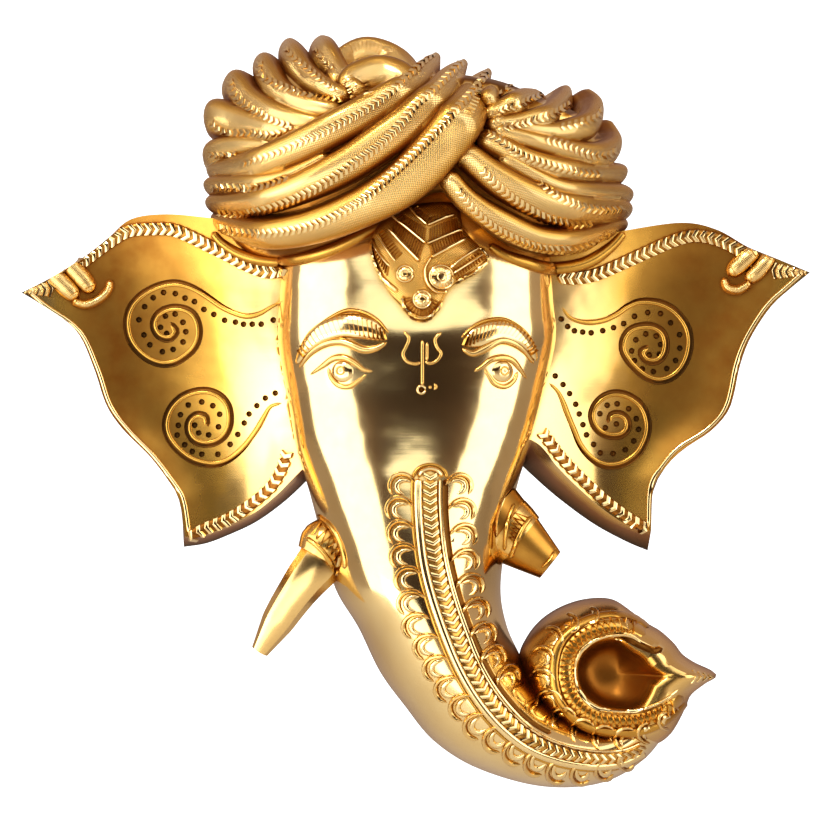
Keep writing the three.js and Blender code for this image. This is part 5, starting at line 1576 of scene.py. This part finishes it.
def polished_cast_brass():
    """Brass whose darkening is the sum of the painted shade in recesses, the hatching, and the dark polish
    and painted shade given for each place. It is smooth where buffed, duller with the darkening, and
    roughest where unpolished or inside."""
    material = bpy.data.materials.new("polished_cast_brass")
    material.use_nodes = True
    tree = material.node_tree
    tree.nodes.clear()
    place = node(tree, "TexCoord", out="Object")
    # painted shade: ambient occlusion darkens the colour in recesses
    openness = node(tree, "AmbientOcclusion", {"samples": 8}, out="AO", Distance=RECESS_REACH * MM)
    recess_shade = node(tree, "MapRange", Value=openness, From_Min=0.25, From_Max=0.8, To_Min=1.0, To_Max=0.0)
    polish_and_shade = node(tree, "Attribute", {"attribute_name": "polish_and_shade"}, out="Fac")
    inside = node(tree, "Attribute", {"attribute_name": "inside"}, out="Fac")
    hatch = hatching(tree)
    mottle = node(tree, "TexNoise", Vector=place, Scale=1 / (PATCH_SIZE * MM), Detail=4.0)
    wiped = node(tree, "MapRange", Value=mottle, From_Min=0.35, From_Max=0.65, To_Min=0.9, To_Max=1.05)
    kept = node(tree, "Math", MULTIPLY, _0=polish_and_shade, _1=wiped)
    # the hatching's dark lines plus the painted shade in recesses
    cut = node(tree, "Math", MULTIPLY_ADD, _0=hatch, _1=HATCH_DARK, _2=recess_shade)
    dark = node(tree, "Math", {"operation": "ADD", "use_clamp": True}, _0=cut, _1=kept)
    # past 1 the colour turns to tarnish, with painted shade on the sides near the wall
    tarnish_and_shade = node(tree, "MapRange", Value=polish_and_shade, From_Min=1.0, From_Max=1.9)
    polished = node(tree, "MapRange", Value=dark, To_Min=0.12, To_Max=0.35)
    outside = node(tree, "MapRange", Value=tarnish_and_shade, To_Min=polished, To_Max=0.55)
    rough = node(tree, "MapRange", Value=inside, To_Min=outside, To_Max=0.6)
    metal = node(tree, "MapRange", Value=tarnish_and_shade, To_Min=1.0, To_Max=0.9)
    colour = brass_colour(tree, mottle, dark, tarnish_and_shade, inside)
    normal = brass_bump(tree, place, hatch)
    shader = node(
        tree, "BsdfPrincipled", Base_Color=colour, Metallic=metal, Roughness=rough, Normal=normal,
    )
    node(tree, "OutputMaterial", Surface=shader)
    return material


mask.data.materials.append(polished_cast_brass())


# Floor and light
# Studio light as in a catalogue photograph: a tall soft box on each side, one above, and dark gaps
# between them for the metal to mirror. The floor is pale paper. Places and sizes here are in metres.
FLOOR_SIZE, FLOOR_HEIGHT = 6.0, -0.9
MASK_CENTRE = (0, 0, -0.13)
BOXES = [
    # name, place, size, watts, shape
    ("left_box", (-1.9, -1.05, 0.0), (2.0, 2.6), 42, "RECTANGLE"),
    ("right_box", (2.0, -1.2, 0.0), (1.7, 2.6), 33, "RECTANGLE"),
    ("front_top_box", (0.0, -1.7, 0.95), (3.0, 1.3), 14, "ELLIPSE"),
    ("low_left_box", (-0.75, -1.2, -0.75), (1.5, 1.0), 10, "RECTANGLE"),
    ("top_lamp", (-0.9, -1.5, 1.5), (0.5, 0.5), 18, "RECTANGLE"),
]
SMOOTH_STEP = {"interpolation_type": "SMOOTHSTEP"}


def floor():
    """A square of pale paper, well below the mask."""
    x, y = FLOOR_SIZE * np.array([(-1, 1, 1, -1), (-1, -1, 1, 1)])
    mesh = bpy.data.meshes.new("floor")
    mesh.from_pydata(np.column_stack([x, y, np.full(4, FLOOR_HEIGHT)]).tolist(), [], [(0, 1, 2, 3)])
    made = bpy.data.objects.new("floor", mesh)
    bpy.context.scene.collection.objects.link(made)
    paper = bpy.data.materials.new("pale_paper_floor")
    paper.use_nodes = True
    shader = paper.node_tree.nodes["Principled BSDF"]
    shader.inputs["Base Color"].default_value = linear("#D9D7D2")
    shader.inputs["Roughness"].default_value = 0.8
    mesh.materials.append(paper)


def soft_box(name, place, size, watts, shape):
    """An area light at a place, turned to face the mask, with both sides of its size."""
    light = bpy.data.lights.new(name, "AREA")
    light.shape = shape
    light.size, light.size_y = size
    light.energy = watts
    made = bpy.data.objects.new(name, light)
    made.location = place
    made.rotation_euler = (Vector(MASK_CENTRE) - Vector(place)).to_track_quat("-Z", "Y").to_euler()
    bpy.context.scene.collection.objects.link(made)


def studio():
    """The room that the metal mirrors: dark brown behind the camera, lighter to the sides and above, and
    white where the camera looks past the mask."""
    world = bpy.data.worlds.new("studio")
    bpy.context.scene.world = world
    world.use_nodes = True
    tree = world.node_tree
    tree.nodes.clear()
    seen = node(tree, "LightPath", out="Is Camera Ray")
    way = node(tree, "TexCoord", out="Generated")
    away, up = (node(tree, "SeparateXYZ", out=axis, _0=way) for axis in "YZ")
    dark_to_light = {"From_Min": -1.0, "From_Max": -0.45, "To_Min": 0.05, "To_Max": 0.5}
    low_to_high = {"From_Min": -0.5, "From_Max": 0.5, "To_Min": 0.3, "To_Max": 1.1}
    front = node(tree, "MapRange", SMOOTH_STEP, Value=away, **dark_to_light)
    above = node(tree, "MapRange", SMOOTH_STEP, Value=up, **low_to_high)
    strength = node(tree, "Math", MULTIPLY, _0=front, _1=above)
    tint = node(tree, "MixRGB", _0=front, _1=linear("#FFC6AA"), _2=linear("#FFF4E8"))
    room = node(tree, "Background", Color=tint, Strength=strength)
    white = node(tree, "Background", Color=linear("#FFFFFF"), Strength=1.6)
    node(tree, "OutputWorld", Surface=node(tree, "MixShader", _0=seen, _1=room, _2=white))


studio()
floor()
for box_light in BOXES:
    soft_box(*box_light)
bpy.context.scene.view_settings.view_transform = "Standard"
